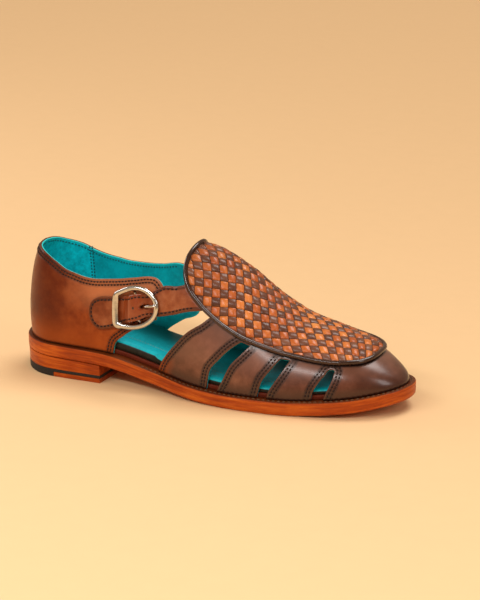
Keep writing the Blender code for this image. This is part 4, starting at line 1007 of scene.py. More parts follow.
feed(shader, "Coat Roughness", plus(0.20, times(on_strips, 0.04)))
feed(shader, "Base Color", colour)
raised(shader, seam_dip(seam_mm, ROWS_MM, 0.55), 0.00022, 0.9)
raised(shader, fade(seam_mm, 5.2, 6.0), 0.0002, 0.8)
dressed(outer_piece, calf, stands_for=["upper"])

dark_thread = thread_finish("brown_waxed_thread", (0.018, 0.006, 0.004))
seam_threads = []
upper_ring = pattern(upper_loop)
for run in stitched_runs:
    # the leather lies on the side where the inner row falls inside the pattern
    left, right = (share_inside(run, STITCH_ROWS[1] * way, upper_ring) for way in (1, -1))
    seam_threads += seam_rows(run, STITCH_ROWS if left > right else [-row for row in STITCH_ROWS], 0.00002)
stitched("upper_stitches", seam_threads, dark_thread)

# Lining: turquoise leather glued behind the calf, its edge just showing, with a napped grip piece round the
# heel joined by an upright double seam, and a row of turquoise stitches under the top edge.
GRIP_FRONT, GRIP_SEAM = 0.035, 0.0012
LINING_ROW = 0.0025
lining_piece, source = cut_piece("turquoise_lining", [upper_loop], upper_skin, -OUTER_LEATHER - 0.00002,
                                 -UPPER_WALL, 0.0001)
collar_gap = gaps(on_skin, np.vstack([on_last(outer_quarter), on_last(inner_quarter)]))
mark(lining_piece, "collar", collar_gap[source] * 1000)
lining_leather, shader, smooth_colour = soft_turquoise("turquoise_lining_leather", 0.50)
place = object_place(shader)
nap = mottle(place, 190.0, 6.0, 0.75)
grip = fade(split(place)["X"], GRIP_FRONT - SHIFT[0] + 0.0003, GRIP_FRONT - SHIFT[0] - 0.0003)
napped = stains(nap, ((0.32, (0.0004, 0.360, 0.430)), (0.50, (0.001, 0.580, 0.680)),
                      (0.72, (0.002, 0.820, 0.940))))
edge_lit = fade(marked(shader, "collar")["Fac"], 1.3, 0.5)
feed(shader, "Base Color", over(edge_lit, over(grip, smooth_colour, napped), (0.010, 0.600, 0.610)))
raised(shader, times(nap, grip), 0.0005, 0.7)
dressed(lining_piece, lining_leather, stands_for=["upper"])
teal_thread = thread_finish("turquoise_thread", (0.0005, 0.090, 0.100))
lining_rows = []
for run in (outer_quarter, inner_quarter):
    side = 1 if share_inside(run, STITCH_ROWS[1], upper_ring) > 0.5 else -1
    lining_rows += seam_rows(run[: len(run) * 6 // 10], (LINING_ROW * side,), -UPPER_WALL)
for side in (-1, 1):
    for x in (GRIP_FRONT - GRIP_SEAM, GRIP_FRONT + GRIP_SEAM):
        upright = np.stack([np.full(120, x), np.full(120, side), np.linspace(0.10, 0.40, 120)], 1)
        for _ in range(6):
            upright[:, 0] += x - on_last(upright)[:, 0]
        lining_rows += seam_rows(upright, (0.0,), -UPPER_WALL)
stitched("lining_stitches", lining_rows, teal_thread)

# Woven apron: strips of calf plaited by hand over and under each other on the slant, tan strips up the
# last and dark taupe strips across, lasted down tight so that each crossing swells into a small cushion.
PIPING_RADIUS = 0.0017
APRON_STEP = 0.0020
STRIP_HALF, STRIP_THICK, STRIP_CROWN = 0.492, 0.00065, 0.00026
STRIP_MIDDLE, STRIP_WAVE = 0.00125, 0.00042
CELL_SAMPLES = 10
# Lay of the plait, fitted as a polynomial: powers of the place along and across, and the factor.
PLAIT = (
    (0, 0, 7.783), (0, 1, 4.429), (0, 2, 1.359), (0, 3, 0.051), (0, 4, -0.244), (1, 0, 9.550), (1, 1, 0.043),
    (1, 2, -0.540), (1, 3, 0.674), (2, 0, -1.382), (2, 1, 0.301), (2, 2, -0.068), (3, 0, -0.711),
    (3, 1, -0.877), (4, 0, 1.190),
)
PLAIT_LEAN = (-6.254, -3.566, -0.364)
PLAIT_MIDDLE, PLAIT_REACH, PLAIT_WIDTH = 0.200, 0.060, 0.040
PLAIT_EDGE, PLAIT_KEEP = 0.0029, 0.0027
STRIP_DIVE, STRIP_TILT, STRIP_EDGE_DROP = 4.6, 0.00022, 0.00008


def drawn_in(flat, distance):
    """A flat closed loop moved towards its inside."""
    ahead, behind = np.roll(flat, -1, axis=0), np.roll(flat, 1, axis=0)
    along = unit(ahead - behind)
    normal = np.stack([-along[:, 1], along[:, 0]], 1)
    area = (flat[:, 0] * ahead[:, 1] - flat[:, 1] * ahead[:, 0]).sum()
    return flat + normal * distance * np.sign(area)


ROLL_X = np.linspace(0.120, 0.286, 420)
ROLL_LEVELS = np.linspace(1, 0, 140)
ROLL_SHARE = np.linspace(0, 1, 160)
ROLL_RISE, ROLL_ARC = [], []
for side in (-1.0, 1.0):
    points = last_surface(ROLL_X[:, None], side, ROLL_LEVELS[None, :])
    length = np.linalg.norm(np.diff(points, axis=1), axis=2).cumsum(1)
    length = np.hstack([np.zeros((len(ROLL_X), 1)), length])
    ROLL_ARC.append(length[:, -1])
    ROLL_RISE.append(np.array([np.interp(ROLL_SHARE * row[-1], row, ROLL_LEVELS) for row in length]))


def rolled(flat):
    """Places on the front of the last from flat points."""
    x = flat[:, 0]
    ridge = last_surface(x, -1.0, 1.0)[:, 1]
    side = np.where(flat[:, 1] < ridge, -1.0, 1.0)
    arc = np.abs(flat[:, 1] - ridge)
    at = np.clip((x - ROLL_X[0]) / (ROLL_X[1] - ROLL_X[0]), 0, len(ROLL_X) - 1.001)
    i = at.astype(int)
    f = at - i
    rise = np.zeros(len(x))
    for kind, grid, total in zip((-1.0, 1.0), ROLL_RISE, ROLL_ARC):
        total = total[i] * (1 - f) + total[i + 1] * f
        share = np.clip(arc / total, 0, 0.9999) * (len(ROLL_SHARE) - 1)
        j = share.astype(int)
        g = share - j
        here = grid[i, j] * (1 - f) * (1 - g) + grid[i + 1, j] * f * (1 - g)
        here = here + grid[i, j + 1] * (1 - f) * g + grid[i + 1, j + 1] * f * g
        rise[side == kind] = here[side == kind]
    return np.stack([x, side, rise], 1)


def plait_at(a, s):
    """The plait's own two counts at a place of the flat apron: along the dark strips, along the tan ones."""
    first = sum(c * a**i * s**j for i, j, c in PLAIT)
    second = sum(c * a**i * (-s) ** j for i, j, c in PLAIT)
    return first, second + PLAIT_LEAN[0] + PLAIT_LEAN[1] * a + PLAIT_LEAN[2] * s


def plait_inverse(u, v):
    """Where on the flat apron two counts meet, found by Newton steps from the nearest of a grid."""
    ga, gs = np.meshgrid(np.linspace(-1.25, 1.35, 130), np.linspace(-1.5, 1.5, 130))
    ga, gs = ga.ravel(), gs.ravel()
    tree = search_tree(np.stack(plait_at(ga, gs), 1))
    near = np.array([tree.find((p, q, 0.0))[1] for p, q in zip(u, v)])
    a, s = ga[near].copy(), gs[near].copy()
    for _ in range(8):
        fu, fv = plait_at(a, s)
        au, av = plait_at(a + 1e-4, s)
        su, sv = plait_at(a, s + 1e-4)
        ua, va, us, vs = (au - fu) / 1e-4, (av - fv) / 1e-4, (su - fu) / 1e-4, (sv - fv) / 1e-4
        size = ua * vs - us * va
        size = np.where(np.abs(size) < 1.0, 1.0, size)
        ru, rv = u - fu, v - fv
        a = a + np.clip((vs * ru - us * rv) / size, -0.05, 0.05)
        s = s + np.clip((ua * rv - va * ru) / size, -0.05, 0.05)
    fu, fv = plait_at(a, s)
    return a, s, np.hypot(fu - u, fv - v) < 0.02


def flat_place(a, s):
    """Flat point from a place along and across the apron, in the plait's own measure."""
    x = PLAIT_MIDDLE + a * PLAIT_REACH
    return np.stack([x, last_surface(x, -1.0, 1.0)[:, 1] + s * PLAIT_WIDTH], 1)


apron_run = chained(back(line(APRON_OUTER, -1, APRON_STEP)), line(APRON_INNER, 1, APRON_STEP))
apron_flat = unrolled(apron_run)
plait_edge, plait_keep = drawn_in(apron_flat, PLAIT_EDGE), drawn_in(apron_flat, PLAIT_KEEP)
edge_ridge = last_surface(plait_edge[:, 0], -1.0, 1.0)[:, 1]
edge_u, edge_v = plait_at((plait_edge[:, 0] - PLAIT_MIDDLE) / PLAIT_REACH,
                          (plait_edge[:, 1] - edge_ridge) / PLAIT_WIDTH)
U_RANGE = range(int(np.floor(edge_u.min())), int(np.ceil(edge_u.max())) + 1)
V_RANGE = range(int(np.floor(edge_v.min())), int(np.ceil(edge_v.max())) + 1)
plait_random = np.random.default_rng(7)


def strip_runs(tan):
    """Every strip of one family: its rings of eight points round the flat section, and its tone."""
    numbers, others = (U_RANGE, V_RANGE) if tan else (V_RANGE, U_RANGE)
    across = np.array([-1.0, -0.84, 0.0, 0.84, 1.0, 0.62, 0.0, -0.62])
    above = np.array([0, 1, 1, 1, 0, -1, -1, -1])[None, :]
    run = np.arange(others[0] - 0.5, others[-1] + 0.5 + 1e-6, 1.0 / CELL_SAMPLES)
    sign = 1 if tan else -1
    for number in numbers:
        tone = plait_random.uniform(0, 1)
        ring_u, ring_v = np.meshgrid(run, across, indexing="ij")
        # each strip is a little narrower where it dives under its neighbour
        phase = np.cos(np.pi * (ring_u + number))
        lift = np.tanh(STRIP_DIVE * phase) / np.tanh(STRIP_DIVE) * sign
        other = number + ring_v * (STRIP_HALF * (0.965 + 0.035 * lift))
        u, v = (other, ring_u) if tan else (ring_u, other)
        a, s, good = plait_inverse(u.ravel(), v.ravel())
        flat = flat_place(a, s).reshape(*u.shape, 2)
        good = good.reshape(u.shape).all(1)
        swell = STRIP_CROWN * (1 - ring_v**2) * (0.6 + 0.4 * lift) + STRIP_TILT * phase * sign
        height = STRIP_MIDDLE + STRIP_WAVE * lift
        height = height + above * STRIP_THICK / 2 + np.where(above > 0, swell, swell * 0.3)
        height = height - np.where(np.abs(ring_v) > 0.99, STRIP_EDGE_DROP, 0.0)
        yield number, tone, run, flat, height, good, lift


edge_tree = search_tree(np.vstack([
    here + (ahead - here) * share
    for here, ahead in zip(plait_edge, np.roll(plait_edge, -1, axis=0))
    for share in (0.0, 0.25, 0.5, 0.75)
]))


def woven(name, tan):
    """All strips of one family as one object, each cut off and tucked down at the apron's edge."""
    points, faces, tones, start = [], [], [], 0
    for number, tone, run, flat, height, good, lift in strip_runs(tan):
        rings, size = flat.shape[:2]
        within = inside(flat.reshape(-1, 2), plait_keep).reshape(rings, size)
        kept = within.any(1) & good
        for i, j in zip(*np.nonzero(~within & kept[:, None])):
            flat[i, j] = edge_tree.find((flat[i, j, 0], flat[i, j, 1], 0.0))[0][:2]
            height[i, j] = min(height[i, j], STRIP_MIDDLE + 0.0002)
        spot = rolled(flat.reshape(-1, 2))
        solid = on_last(spot) + surface_normals(spot) * height.reshape(-1, 1)
        solid = solid.reshape(rings, size, 3)
        ends = np.flatnonzero(np.diff(np.r_[False, kept, False].astype(int)))
        for i, j in zip(ends[::2], ends[1::2] - 1):
            if j - i < 2:
                continue
            count, k = j - i + 1, np.arange(size)
            rows, after = np.arange(j - i)[:, None] * size, (k + 1) % size
            quads = np.stack([rows + k, rows + after, rows + after + size, rows + k + size], -1)
            faces += (quads.reshape(-1, 4) + start).tolist()
            faces += [tuple(start + k[::-1]), tuple(start + (j - i) * size + k)]
            points.append(solid[i : j + 1].reshape(-1, 3))
            # a tone of its own for every crossing, scattered by a sine
            crossing = np.repeat(np.round(run[i : j + 1]), size)
            jitter = np.sin(crossing * 12.9898 + number * 78.233) * 43758.5453
            jitter = jitter - np.floor(jitter)
            rims = np.tile(np.r_[1, 0.25, 0, 0.25, 1, 1, 1, 1], count)
            tones.append(np.stack([0.6 * tone + 0.4 * jitter, np.repeat(lift[i : j + 1, 0], size), rims], 1))
            start += count * size
    made = mesh_piece(name, np.vstack(points), faces, sharp=60.0)
    mark(made, "strip", np.vstack(tones))
    return made


def strip_leather(name, ramps):
    """Strip of the plait: its own tone, painted shade where it dives under its neighbour, darker at its cut
    edges, satin wax.
    """
    finish, shader = new_finish(name, 0.36, coat=0.22, coat_rough=0.22, gloss=0.30)
    place = object_place(shader)
    tone, lift, rim = split(marked(shader, "strip")["Vector"])
    share = plus(times(tone, 0.42), times(mottle(place, 170.0, 4.0, 0.6), 0.60))
    # painted shade where the strip dives under its neighbour; darker cut edges
    colour = layers(stains(share, ramps), (fade(lift, 0.35, -0.5), 0.80, (0.012, 0.004, 0.002)),
                    (fade(rim, 0.40, 1.0), 0.60, (0.020, 0.007, 0.004)))
    raised(shader, mottle(place, 900.0, 5.0, 0.65), 0.00008, 0.6)
    return finish, shader, colour, place


TAN_STAIN = ((0.20, (0.270, 0.048, 0.008)), (0.45, (0.460, 0.105, 0.018)), (0.62, (0.640, 0.185, 0.036)),
             (0.85, (0.800, 0.300, 0.075)))
TAUPE_STAIN = ((0.20, (0.075, 0.022, 0.010)), (0.50, (0.140, 0.048, 0.024)), (0.80, (0.230, 0.090, 0.048)))
tan_strips = woven("tan_strips", True)
taupe_strips = woven("taupe_strips", False)
tan_leather, shader, colour, place = strip_leather("tan_strip_leather", TAN_STAIN)
spot = split(place)
redder = fade(plus(spot["X"], times(spot["Y"], -0.9)), 0.055, -0.010)
feed(shader, "Base Color", over(times(redder, 0.50), colour, (0.150, 0.030, 0.012)))
dressed(tan_strips, tan_leather, stands_for=["woven_apron"])
taupe_leather, shader, colour, place = strip_leather("taupe_strip_leather", TAUPE_STAIN)
feed(shader, "Base Color", colour)
dressed(taupe_strips, taupe_leather, stands_for=["woven_apron"])

# Piping: a cord wrapped in dark polished calf, sewn round the apron between the plait and the strips.
PIPING_STAIN = ((0.3, (0.018, 0.005, 0.002)), (0.6, (0.045, 0.012, 0.005)), (0.8, (0.090, 0.026, 0.011)))
PIPING_POINTS = 420


def smooth_ring(path, count):
    """Closed path resampled evenly and relaxed a little."""
    whole = looped(path)
    run = run_length(whole)
    at = np.arange(count) / count * run[-1]
    even = np.stack([np.interp(at, run, whole[:, i]) for i in range(3)], 1)
    for _ in range(3):
        even = even * 0.5 + (np.roll(even, 1, axis=0) + np.roll(even, -1, axis=0)) * 0.25
    return even


def swept(path, ups, wide, tall, sides, closed):
    """Tube along a path; its half width and half height may change from point to point."""
    ahead = np.roll(path, -1, axis=0) - np.roll(path, 1, axis=0) if closed else np.gradient(path, axis=0)
    ahead = unit(ahead)
    across = unit(np.cross(ahead, ups))
    up = np.cross(across, ahead)
    turn = np.arange(sides) * 2 * np.pi / sides
    wide, tall = np.broadcast_to(wide, len(path)), np.broadcast_to(tall, len(path))
    points = path[:, None] + across[:, None] * (np.cos(turn) * wide[:, None])[..., None]
    points = points + up[:, None] * (np.sin(turn) * tall[:, None])[..., None]
    count, k = len(path), np.arange(sides)
    faces = []
    for row in range(count if closed else count - 1):
        a, b = row * sides, (row + 1) % count * sides
        faces += np.stack([a + k, a + (k + 1) % sides, b + (k + 1) % sides, b + k], 1).tolist()
    if not closed:
        faces += [tuple(k[::-1]), tuple((count - 1) * sides + k)]
    return points.reshape(-1, 3), faces


piping_places = rolled(drawn_in(apron_flat, PIPING_RADIUS))
piping_ups = surface_normals(piping_places)
piping_path = on_last(piping_places) + piping_ups * (EDGE_CLEARANCE + PIPING_RADIUS)
points, faces = swept(smooth_ring(piping_path, PIPING_POINTS), smooth_ring(piping_ups, PIPING_POINTS),
                      PIPING_RADIUS, PIPING_RADIUS, 14, True)
piping_piece = mesh_piece("leather_piping", points, faces, sharp=80.0)
piping_leather, shader, colours, place = grained_leather("dark_piping_leather", (PIPING_STAIN,), 0.30, 0.9)
shader.inputs["Coat Roughness"].default_value = 0.13
feed(shader, "Base Color", colours[0])
raised(shader, mottle(place, 420.0, 3.0, 0.6), 0.00018, 0.5)
dressed(piping_piece, piping_leather, stands_for=["apron_piping"])

# Outer strap: one tongue of calf from under the apron through the buckle to a rounded tail, arched over the
# centre bar, its edges rounded and stained, with a row of stout stitches all the way round.
STRAP_THICKNESS, STRAP_WIDTH, STRAP_TAIL_ROUND, TAIL_CORNER = 0.0022, 0.0245, 0.0115, 2.2
FRAME_WIRE_RADIUS, FRAME_LENGTH, FRAME_HEIGHT, FRAME_BAR_HEIGHT = 0.0016, 0.0365, 0.0310, 0.0265
CENTRE_BAR_RADIUS, PRONG_RADIUS, PRONG_HOLE_LENGTH, PRONG_HOLE_WIDTH = 0.0010, 0.0009, 0.0060, 0.0030
LOOP_LEATHER, LOOP_WIDTH, LOOP_TAIL = 0.0008, 0.0150, 0.0080
BUCKLE_TILT, BUCKLE_STATION, BAR_LEAN = 12.0, 0.350, 0.17
PRONG_HOLE_AHEAD, SPARE_HOLE_AHEAD = 0.0070, -0.0006
STRAP_MEETS_APRON = ((0.4668, 0.534), (0.5190, 0.4205))
STRAP_ENDS = (0.4655, 0.5150)
STRAP_GRID, STRAP_ROUND = 0.0013, 0.0006
STRAP_ROW, STRAP_PITCH, STRAP_STITCH, STRAP_THREAD = 0.0022, 0.0029, 0.0025, 0.00064
STRAP_STAIN = ((0.32, (0.110, 0.018, 0.003)), (0.46, (0.210, 0.044, 0.012)), (0.57, (0.310, 0.088, 0.030)),
               (0.72, (0.450, 0.165, 0.070)))
# Middle of the strap: station, rise over the last, how far it sinks under the apron.
STRAP_RUN = (
    (0.218, 0.147, 0.0), (0.246, 0.149, 0.0), (0.28, 0.169, 0.0), (0.304, 0.193, 0.0),
    (0.316, 0.207, 0.0), (0.326, 0.22, 0.0), (0.337, 0.234, 0.0), (0.35, 0.252, 0.0), (0.363, 0.267, 0.0),
    (0.374, 0.281, 0.0), (0.384, 0.298, 0.0), (0.398, 0.323, 0.0), (0.414, 0.352, 0.0),
    (0.444, 0.392, 1.0), (0.469, 0.432, 1.0), (0.5, 0.475, 1.0), (0.54, 0.53, 1.0),
)
# Strap near the buckle: way from the centre bar, half width, lift over the bar.
STRAP_AT_BUCKLE = (
    (-0.0396, 0.49, 0.0000), (-0.0312, 0.49, 0.0000), (-0.0210, 0.465, 0.0000), (-0.0138, 0.43, 0.0000),
    (-0.0102, 0.395, 0.0800), (-0.0072, 0.385, 0.48), (-0.0039, 0.385, 0.92), (0.0000, 0.385, 1.0),
    (0.0039, 0.372, 0.92), (0.0072, 0.335, 0.44), (0.0102, 0.352, 0.0500), (0.0144, 0.4, 0.0000),
    (0.0192, 0.435, 0.0000), (0.0282, 0.415, 0.0000), (0.0357, 0.41, 0.0000), (0.0450, 0.405, 0.0000),
    (0.0570, 0.4, 0.0000),
)
BAR_HEIGHT = FIT_GAP + LOOP_LEATHER + FIT_GAP + CENTRE_BAR_RADIUS
STRAP_OVER_BAR = BAR_HEIGHT + CENTRE_BAR_RADIUS + 2 * PRONG_RADIUS + 2 * FIT_GAP
FRAME_LIFT = FIT_GAP + STRAP_THICKNESS + FIT_GAP + FRAME_WIRE_RADIUS + EDGE_CLEARANCE
middle = np.array([[BUCKLE_STATION * SOLE_LENGTH, -1, eased(STRAP_RUN, 1, BUCKLE_STATION)]])
BUCKLE_AT = on_last(middle)[0]
OUTWARDS = surface_normals(middle)[0]
tilt = np.radians(BUCKLE_TILT)
ALONG = np.array([np.cos(tilt), 0.0, np.sin(tilt)])
ALONG = unit(ALONG - OUTWARDS * (ALONG @ OUTWARDS))
UPWARDS = np.cross(ALONG, OUTWARDS) * np.sign(np.cross(ALONG, OUTWARDS)[2])


def at_buckle(along, upwards, outwards):
    return BUCKLE_AT + np.outer(along, ALONG) + np.outer(upwards, UPWARDS) + np.outer(outwards, OUTWARDS)


def from_buckle(x):
    return x - BUCKLE_STATION * SOLE_LENGTH


def strap_places(share, x):
    """Places along the strap: share -1 at its lower edge, 1 at its upper edge."""
    half = flowing(STRAP_AT_BUCKLE, 1, from_buckle(x)) * STRAP_WIDTH
    tail = np.clip((STRAP_RUN[0][0] * SOLE_LENGTH + STRAP_TAIL_ROUND - x) / STRAP_TAIL_ROUND, 0, 1)
    half = half * round_end(tail, TAIL_CORNER)
    levels = np.linspace(0, 1, 160)
    found = []
    for xi, hi, ri in zip(x, half, flowing(STRAP_RUN, 1, x / SOLE_LENGTH)):
        length = run_length(last_surface(xi, -1, levels))
        found.append(np.interp(np.interp(ri, levels, length) + hi * share, length, levels))
    return np.stack([x, np.full_like(x, -1.0), np.array(found)], 1)


def strap_lift(places):
    """Distance of the strap's underside from the last."""
    over_bar = FIT_GAP + eased(STRAP_AT_BUCKLE, 2, from_buckle(places[:, 0])) * (STRAP_OVER_BAR - FIT_GAP)
    return over_bar - eased(STRAP_RUN, 2, places[:, 0] / SOLE_LENGTH) * (UPPER_WALL + FIT_GAP)


tail_x = STRAP_RUN[0][0] * SOLE_LENGTH
reach = (1 - np.cos(np.linspace(0, np.pi / 2, 400))) ** 1.2
top_edge, low_edge = (
    strap_places(share, tail_x + (end * SOLE_LENGTH - tail_x) * reach)
    for share, end in zip((1.0, -1.0), STRAP_ENDS)
)
strap_end = apron_part(APRON_OUTER, -1, *STRAP_MEETS_APRON, STRAP_GRID) + np.array([-0.0006, 0.0, -0.004])
strap_loop = chained(
    spaced(top_edge, STRAP_GRID),
    spaced(np.vstack([top_edge[-1:], strap_end[:1]]), STRAP_GRID),
    strap_end,
    spaced(np.vstack([strap_end[-1:], low_edge[-1:]]), STRAP_GRID),
    back(spaced(low_edge, STRAP_GRID)),
)
around = np.linspace(0, 2 * np.pi, 28, endpoint=False)
hole_x = BUCKLE_STATION * SOLE_LENGTH + PRONG_HOLE_AHEAD + PRONG_HOLE_LENGTH / 2 * np.cos(around)
hole_z = at_buckle(from_buckle(hole_x), PRONG_HOLE_WIDTH / 2 * np.sin(around), 0 * around)[:, 2]
levels = np.linspace(0, 1, 300)
hole_rise = [np.interp(z, last_surface(x, -1, levels)[:, 2], levels) for x, z in zip(hole_x, hole_z)]
hole_loop = np.stack([hole_x, np.full(28, -1.0), np.array(hole_rise)], 1)
strap_loops = [strap_loop, hole_loop]
strap_skin = cut_skin(strap_loops, STRAP_GRID)
strap_spots = on_last(strap_skin[0])
strap_base = strap_lift(strap_skin[0])
strap_piece, source = cut_piece("calf_strap", strap_loops, strap_skin, strap_base + STRAP_THICKNESS,
                                strap_base, STRAP_ROUND)
long_edges = on_last(np.vstack([spaced(top_edge, 0.0004), spaced(low_edge, 0.0004)]))
strap_edge_gap = gaps(strap_spots, long_edges)
strap_rim_gap = gaps(strap_spots, np.vstack([long_edges, on_last(spaced(looped(hole_loop), 0.0003))]))
strap_rim_gap[: len(strap_loop)] = 0.0
to_spare = strap_spots - at_buckle([SPARE_HOLE_AHEAD], [0.0], [0.0])[0]
spare_gap = np.linalg.norm(to_spare - np.outer(to_spare @ OUTWARDS, OUTWARDS), axis=1)
mark(strap_piece, "edges", np.stack([strap_edge_gap, strap_rim_gap, spare_gap], 1)[source] * 1000)

strap_leather, shader, colours, place = grained_leather("strap_calf", (STRAP_STAIN,), 0.34, 0.22)
edge_mm, rim_mm, spare_mm = split(marked(shader, "edges")["Vector"])
inside_frame = fade(spare_mm, 15.0, 9.0)
colour = layers(
    colours[0],
    # band under the stitches, stained cut edge, redder and glossier inside the frame, painted shade filling
    # the spare hole, which is only pressed in
    (fade(edge_mm, 3.4, 2.4), 0.62, (0.045, 0.012, 0.005)),
    (fade(rim_mm, 0.6, 0.2), 1.0, (0.150, 0.038, 0.012)),
    (inside_frame, 0.68, (0.270, 0.042, 0.005)),
    (fade(spare_mm, 1.15, 0.85), 1.0, (0.008, 0.003, 0.002)),
)
feed(shader, "Coat Weight", plus(0.20, times(inside_frame, 0.70)))
feed(shader, "Coat Roughness", plus(0.22, times(inside_frame, -0.12)))
feed(shader, "Base Color", colour)
raised(shader, seam_dip(edge_mm, [STRAP_ROW * 1000], 0.6), 0.00028, 0.9)
raised(shader, fade(spare_mm, 0.7, 1.3), 0.0006, 0.9)
dressed(strap_piece, strap_leather, stands_for=["buckle_strap"])

outline = np.vstack([back(spaced(low_edge, SEAM_GRID)), spaced(top_edge, SEAM_GRID)[1:]])[6:-6]
sign = 1 if share_inside(outline, STRAP_ROW, pattern(strap_loop)) > 0.5 else -1
strap_row = beside(outline, STRAP_ROW * sign)
ups = surface_normals(strap_row)
strap_path = on_last(strap_row) + ups * (strap_lift(strap_row) + STRAP_THICKNESS + 0.00002)[:, None]
strap_threads = [stitch_row(strap_path, ups, STRAP_PITCH, STRAP_STITCH, STRAP_THREAD)]
stitched("strap_stitches", strap_threads, dark_thread)

# Buckle: frame, centre bar and prong bent from polished nickel-plated brass wire, the bar at the tail side
# flattened wide; a loop of thin calf round the centre bar, sewn down to the quarter, holds it.
nickel, shader = new_finish("polished_nickel", 0.09, metal=1.0)
place = object_place(shader)
rubbed = mottle(place, 260.0, 4.0)
feed(shader, "Base Color", stains(rubbed, ((0.3, (0.50, 0.485, 0.46)), (0.75, (0.70, 0.69, 0.665)))))
fine = mottle(place, 1.0, 3.0, 0.6, stretch=(300.0, 300.0, 1400.0))
feed(shader, "Roughness", plus(0.05, times(fine, 0.14)))
raised(shader, mottle(place, 500.0, 2.0), 0.00003, 0.5)


def frame_path():
    """Middle of the frame wire, with how much it is flattened: bowed bar at the tail side, round end."""
    left = -FRAME_LENGTH / 2 + FRAME_WIRE_RADIUS
    right_end = FRAME_LENGTH / 2 - FRAME_WIRE_RADIUS
    half = FRAME_HEIGHT / 2 - FRAME_WIRE_RADIUS
    bar = FRAME_BAR_HEIGHT / 2 - FRAME_WIRE_RADIUS
    shoulder, corner = -0.0015, 0.0030
    turn = np.linspace(np.pi / 2, -np.pi / 2, 41)
    bend = np.linspace(0, np.pi / 2, 9)[1:-1]
    climb = np.linspace(0, 1, 9)[1:-1]
    rail = np.linspace(left + corner, shoulder, 9)[:-1]
    rail_up = bar + (half - bar) * np.sin((rail - left - corner) / (shoulder - left - corner) * np.pi / 2)
    side = np.r_[0.0, (bar - corner) * climb, bar - corner + corner * np.sin(bend)]
    side_along = np.r_[left - 0.0004, left - 0.0004 * (1 - climb**2), left + corner * (1 - np.cos(bend))]
    along = np.r_[side_along, rail, shoulder + (right_end - shoulder) * np.cos(turn)]
    up = np.r_[side, rail_up, half * np.sin(turn)]
    along = np.r_[along, rail[::-1], side_along[:0:-1]]
    up = np.r_[up, -rail_up[::-1], -side[:0:-1]]
    return along, up


RING_POINTS, BAR_POINTS, PRONG_POINTS = 220, 40, 70
WIRE_WIDE, BAR_WIDER, WIRE_TALL, BAR_FLATTER = 1.18, 0.42, 0.95, 0.10
along, up = frame_path()
flat_ring = smooth_ring(np.stack([along, up, np.zeros_like(along)], 1), RING_POINTS)
flat_ring[:, 0] += BAR_LEAN * flat_ring[:, 1] * np.clip(0.5 - flat_ring[:, 0] / 0.024, 0, 1)
ring_path = at_buckle(flat_ring[:, 0], flat_ring[:, 1], np.full(RING_POINTS, FRAME_LIFT))
bar_share = np.clip((-flat_ring[:, 0] - 0.0125) / 0.0035, 0, 1)
bar_share = bar_share * bar_share * (3 - 2 * bar_share)
wide = FRAME_WIRE_RADIUS * (WIRE_WIDE + BAR_WIDER * bar_share)
tall = FRAME_WIRE_RADIUS * (WIRE_TALL - BAR_FLATTER * bar_share)
points, faces = swept(ring_path, np.tile(OUTWARDS, (RING_POINTS, 1)), wide, tall, 18, True)
bar_half = FRAME_HEIGHT / 2 - FRAME_WIRE_RADIUS
bar_up = np.linspace(-bar_half, bar_half, BAR_POINTS)
rise_share = np.clip((bar_half - np.abs(bar_up)) / 0.003, 0, 1)
bar_out = FRAME_LIFT + (BAR_HEIGHT - FRAME_LIFT) * rise_share
bar_points, bar_faces = swept(at_buckle(0 * bar_up, bar_up, bar_out), np.tile(ALONG, (BAR_POINTS, 1)),
                              CENTRE_BAR_RADIUS, CENTRE_BAR_RADIUS, 14, False)
bar_faces = [tuple(i + len(points) for i in face) for face in bar_faces]
frame_piece = mesh_piece("polished_frame", np.vstack([points, bar_points]), faces + bar_faces, sharp=70.0)
dressed(frame_piece, nickel, stands_for=["buckle_frame"])

# way along and height of the prong: curled round the bar, through the hole, over the frame's round end
turn = np.radians(np.linspace(200, 80, 6))
hook = CENTRE_BAR_RADIUS + FIT_GAP * 0.8 + PRONG_RADIUS
rest = FRAME_LIFT + FRAME_WIRE_RADIUS + FIT_GAP + PRONG_RADIUS
along = np.r_[hook * np.cos(turn), 0.0025, 0.0042, 0.0062, 0.0080, 0.0098, 0.0125, 0.0182]
out = np.r_[BAR_HEIGHT + hook * np.sin(turn), 0.0041, 0.0037, 0.0047, 0.0060, 0.0069, rest, rest]
run = np.r_[0, np.cumsum(np.hypot(np.diff(along), np.diff(out)))]
at = np.linspace(0, run[-1], PRONG_POINTS)
along, out = (hermite(run, way, np.gradient(way, run), at) for way in (along, out))
taper = PRONG_RADIUS * np.clip(0.55 + (run[-1] - at) / 0.0030, 0, 1)
taper[-1] = PRONG_RADIUS * 0.15
points, faces = swept(at_buckle(along, 0 * along, out), np.tile(UPWARDS, (PRONG_POINTS, 1)), taper, taper, 14,
                      False)
prong_piece = mesh_piece("polished_prong", points, faces, sharp=70.0)
dressed(prong_piece, nickel, stands_for=["buckle_prong"])

inner_radius = CENTRE_BAR_RADIUS + FIT_GAP
outer_radius = inner_radius + LOOP_LEATHER
turn = np.radians(np.linspace(-90, 190, 40))
low = BAR_HEIGHT - outer_radius
foot = np.linspace(-LOOP_TAIL, -0.0005, 12)
along = np.r_[foot, outer_radius * np.cos(turn), inner_radius * np.cos(turn[::-1]), foot[::-1]]
out = np.r_[np.full(12, low), BAR_HEIGHT + outer_radius * np.sin(turn),
            BAR_HEIGHT + inner_radius * np.sin(turn[::-1]), np.full(12, low + LOOP_LEATHER)]
count = len(along)
loop_points, loop_faces = [], []
for number, (near, far) in enumerate(((-LOOP_WIDTH / 2, -0.0014), (0.0014, LOOP_WIDTH / 2))):
    start = number * 2 * count
    loop_points += [at_buckle(along, np.full(count, way), out) for way in (near, far)]
    loop_faces += [(start + i, start + (i + 1) % count, start + (i + 1) % count + count, start + i + count)
                   for i in range(count)]
    loop_faces += [tuple(range(start, start + count)),
                   tuple(range(start + 2 * count - 1, start + count - 1, -1))]
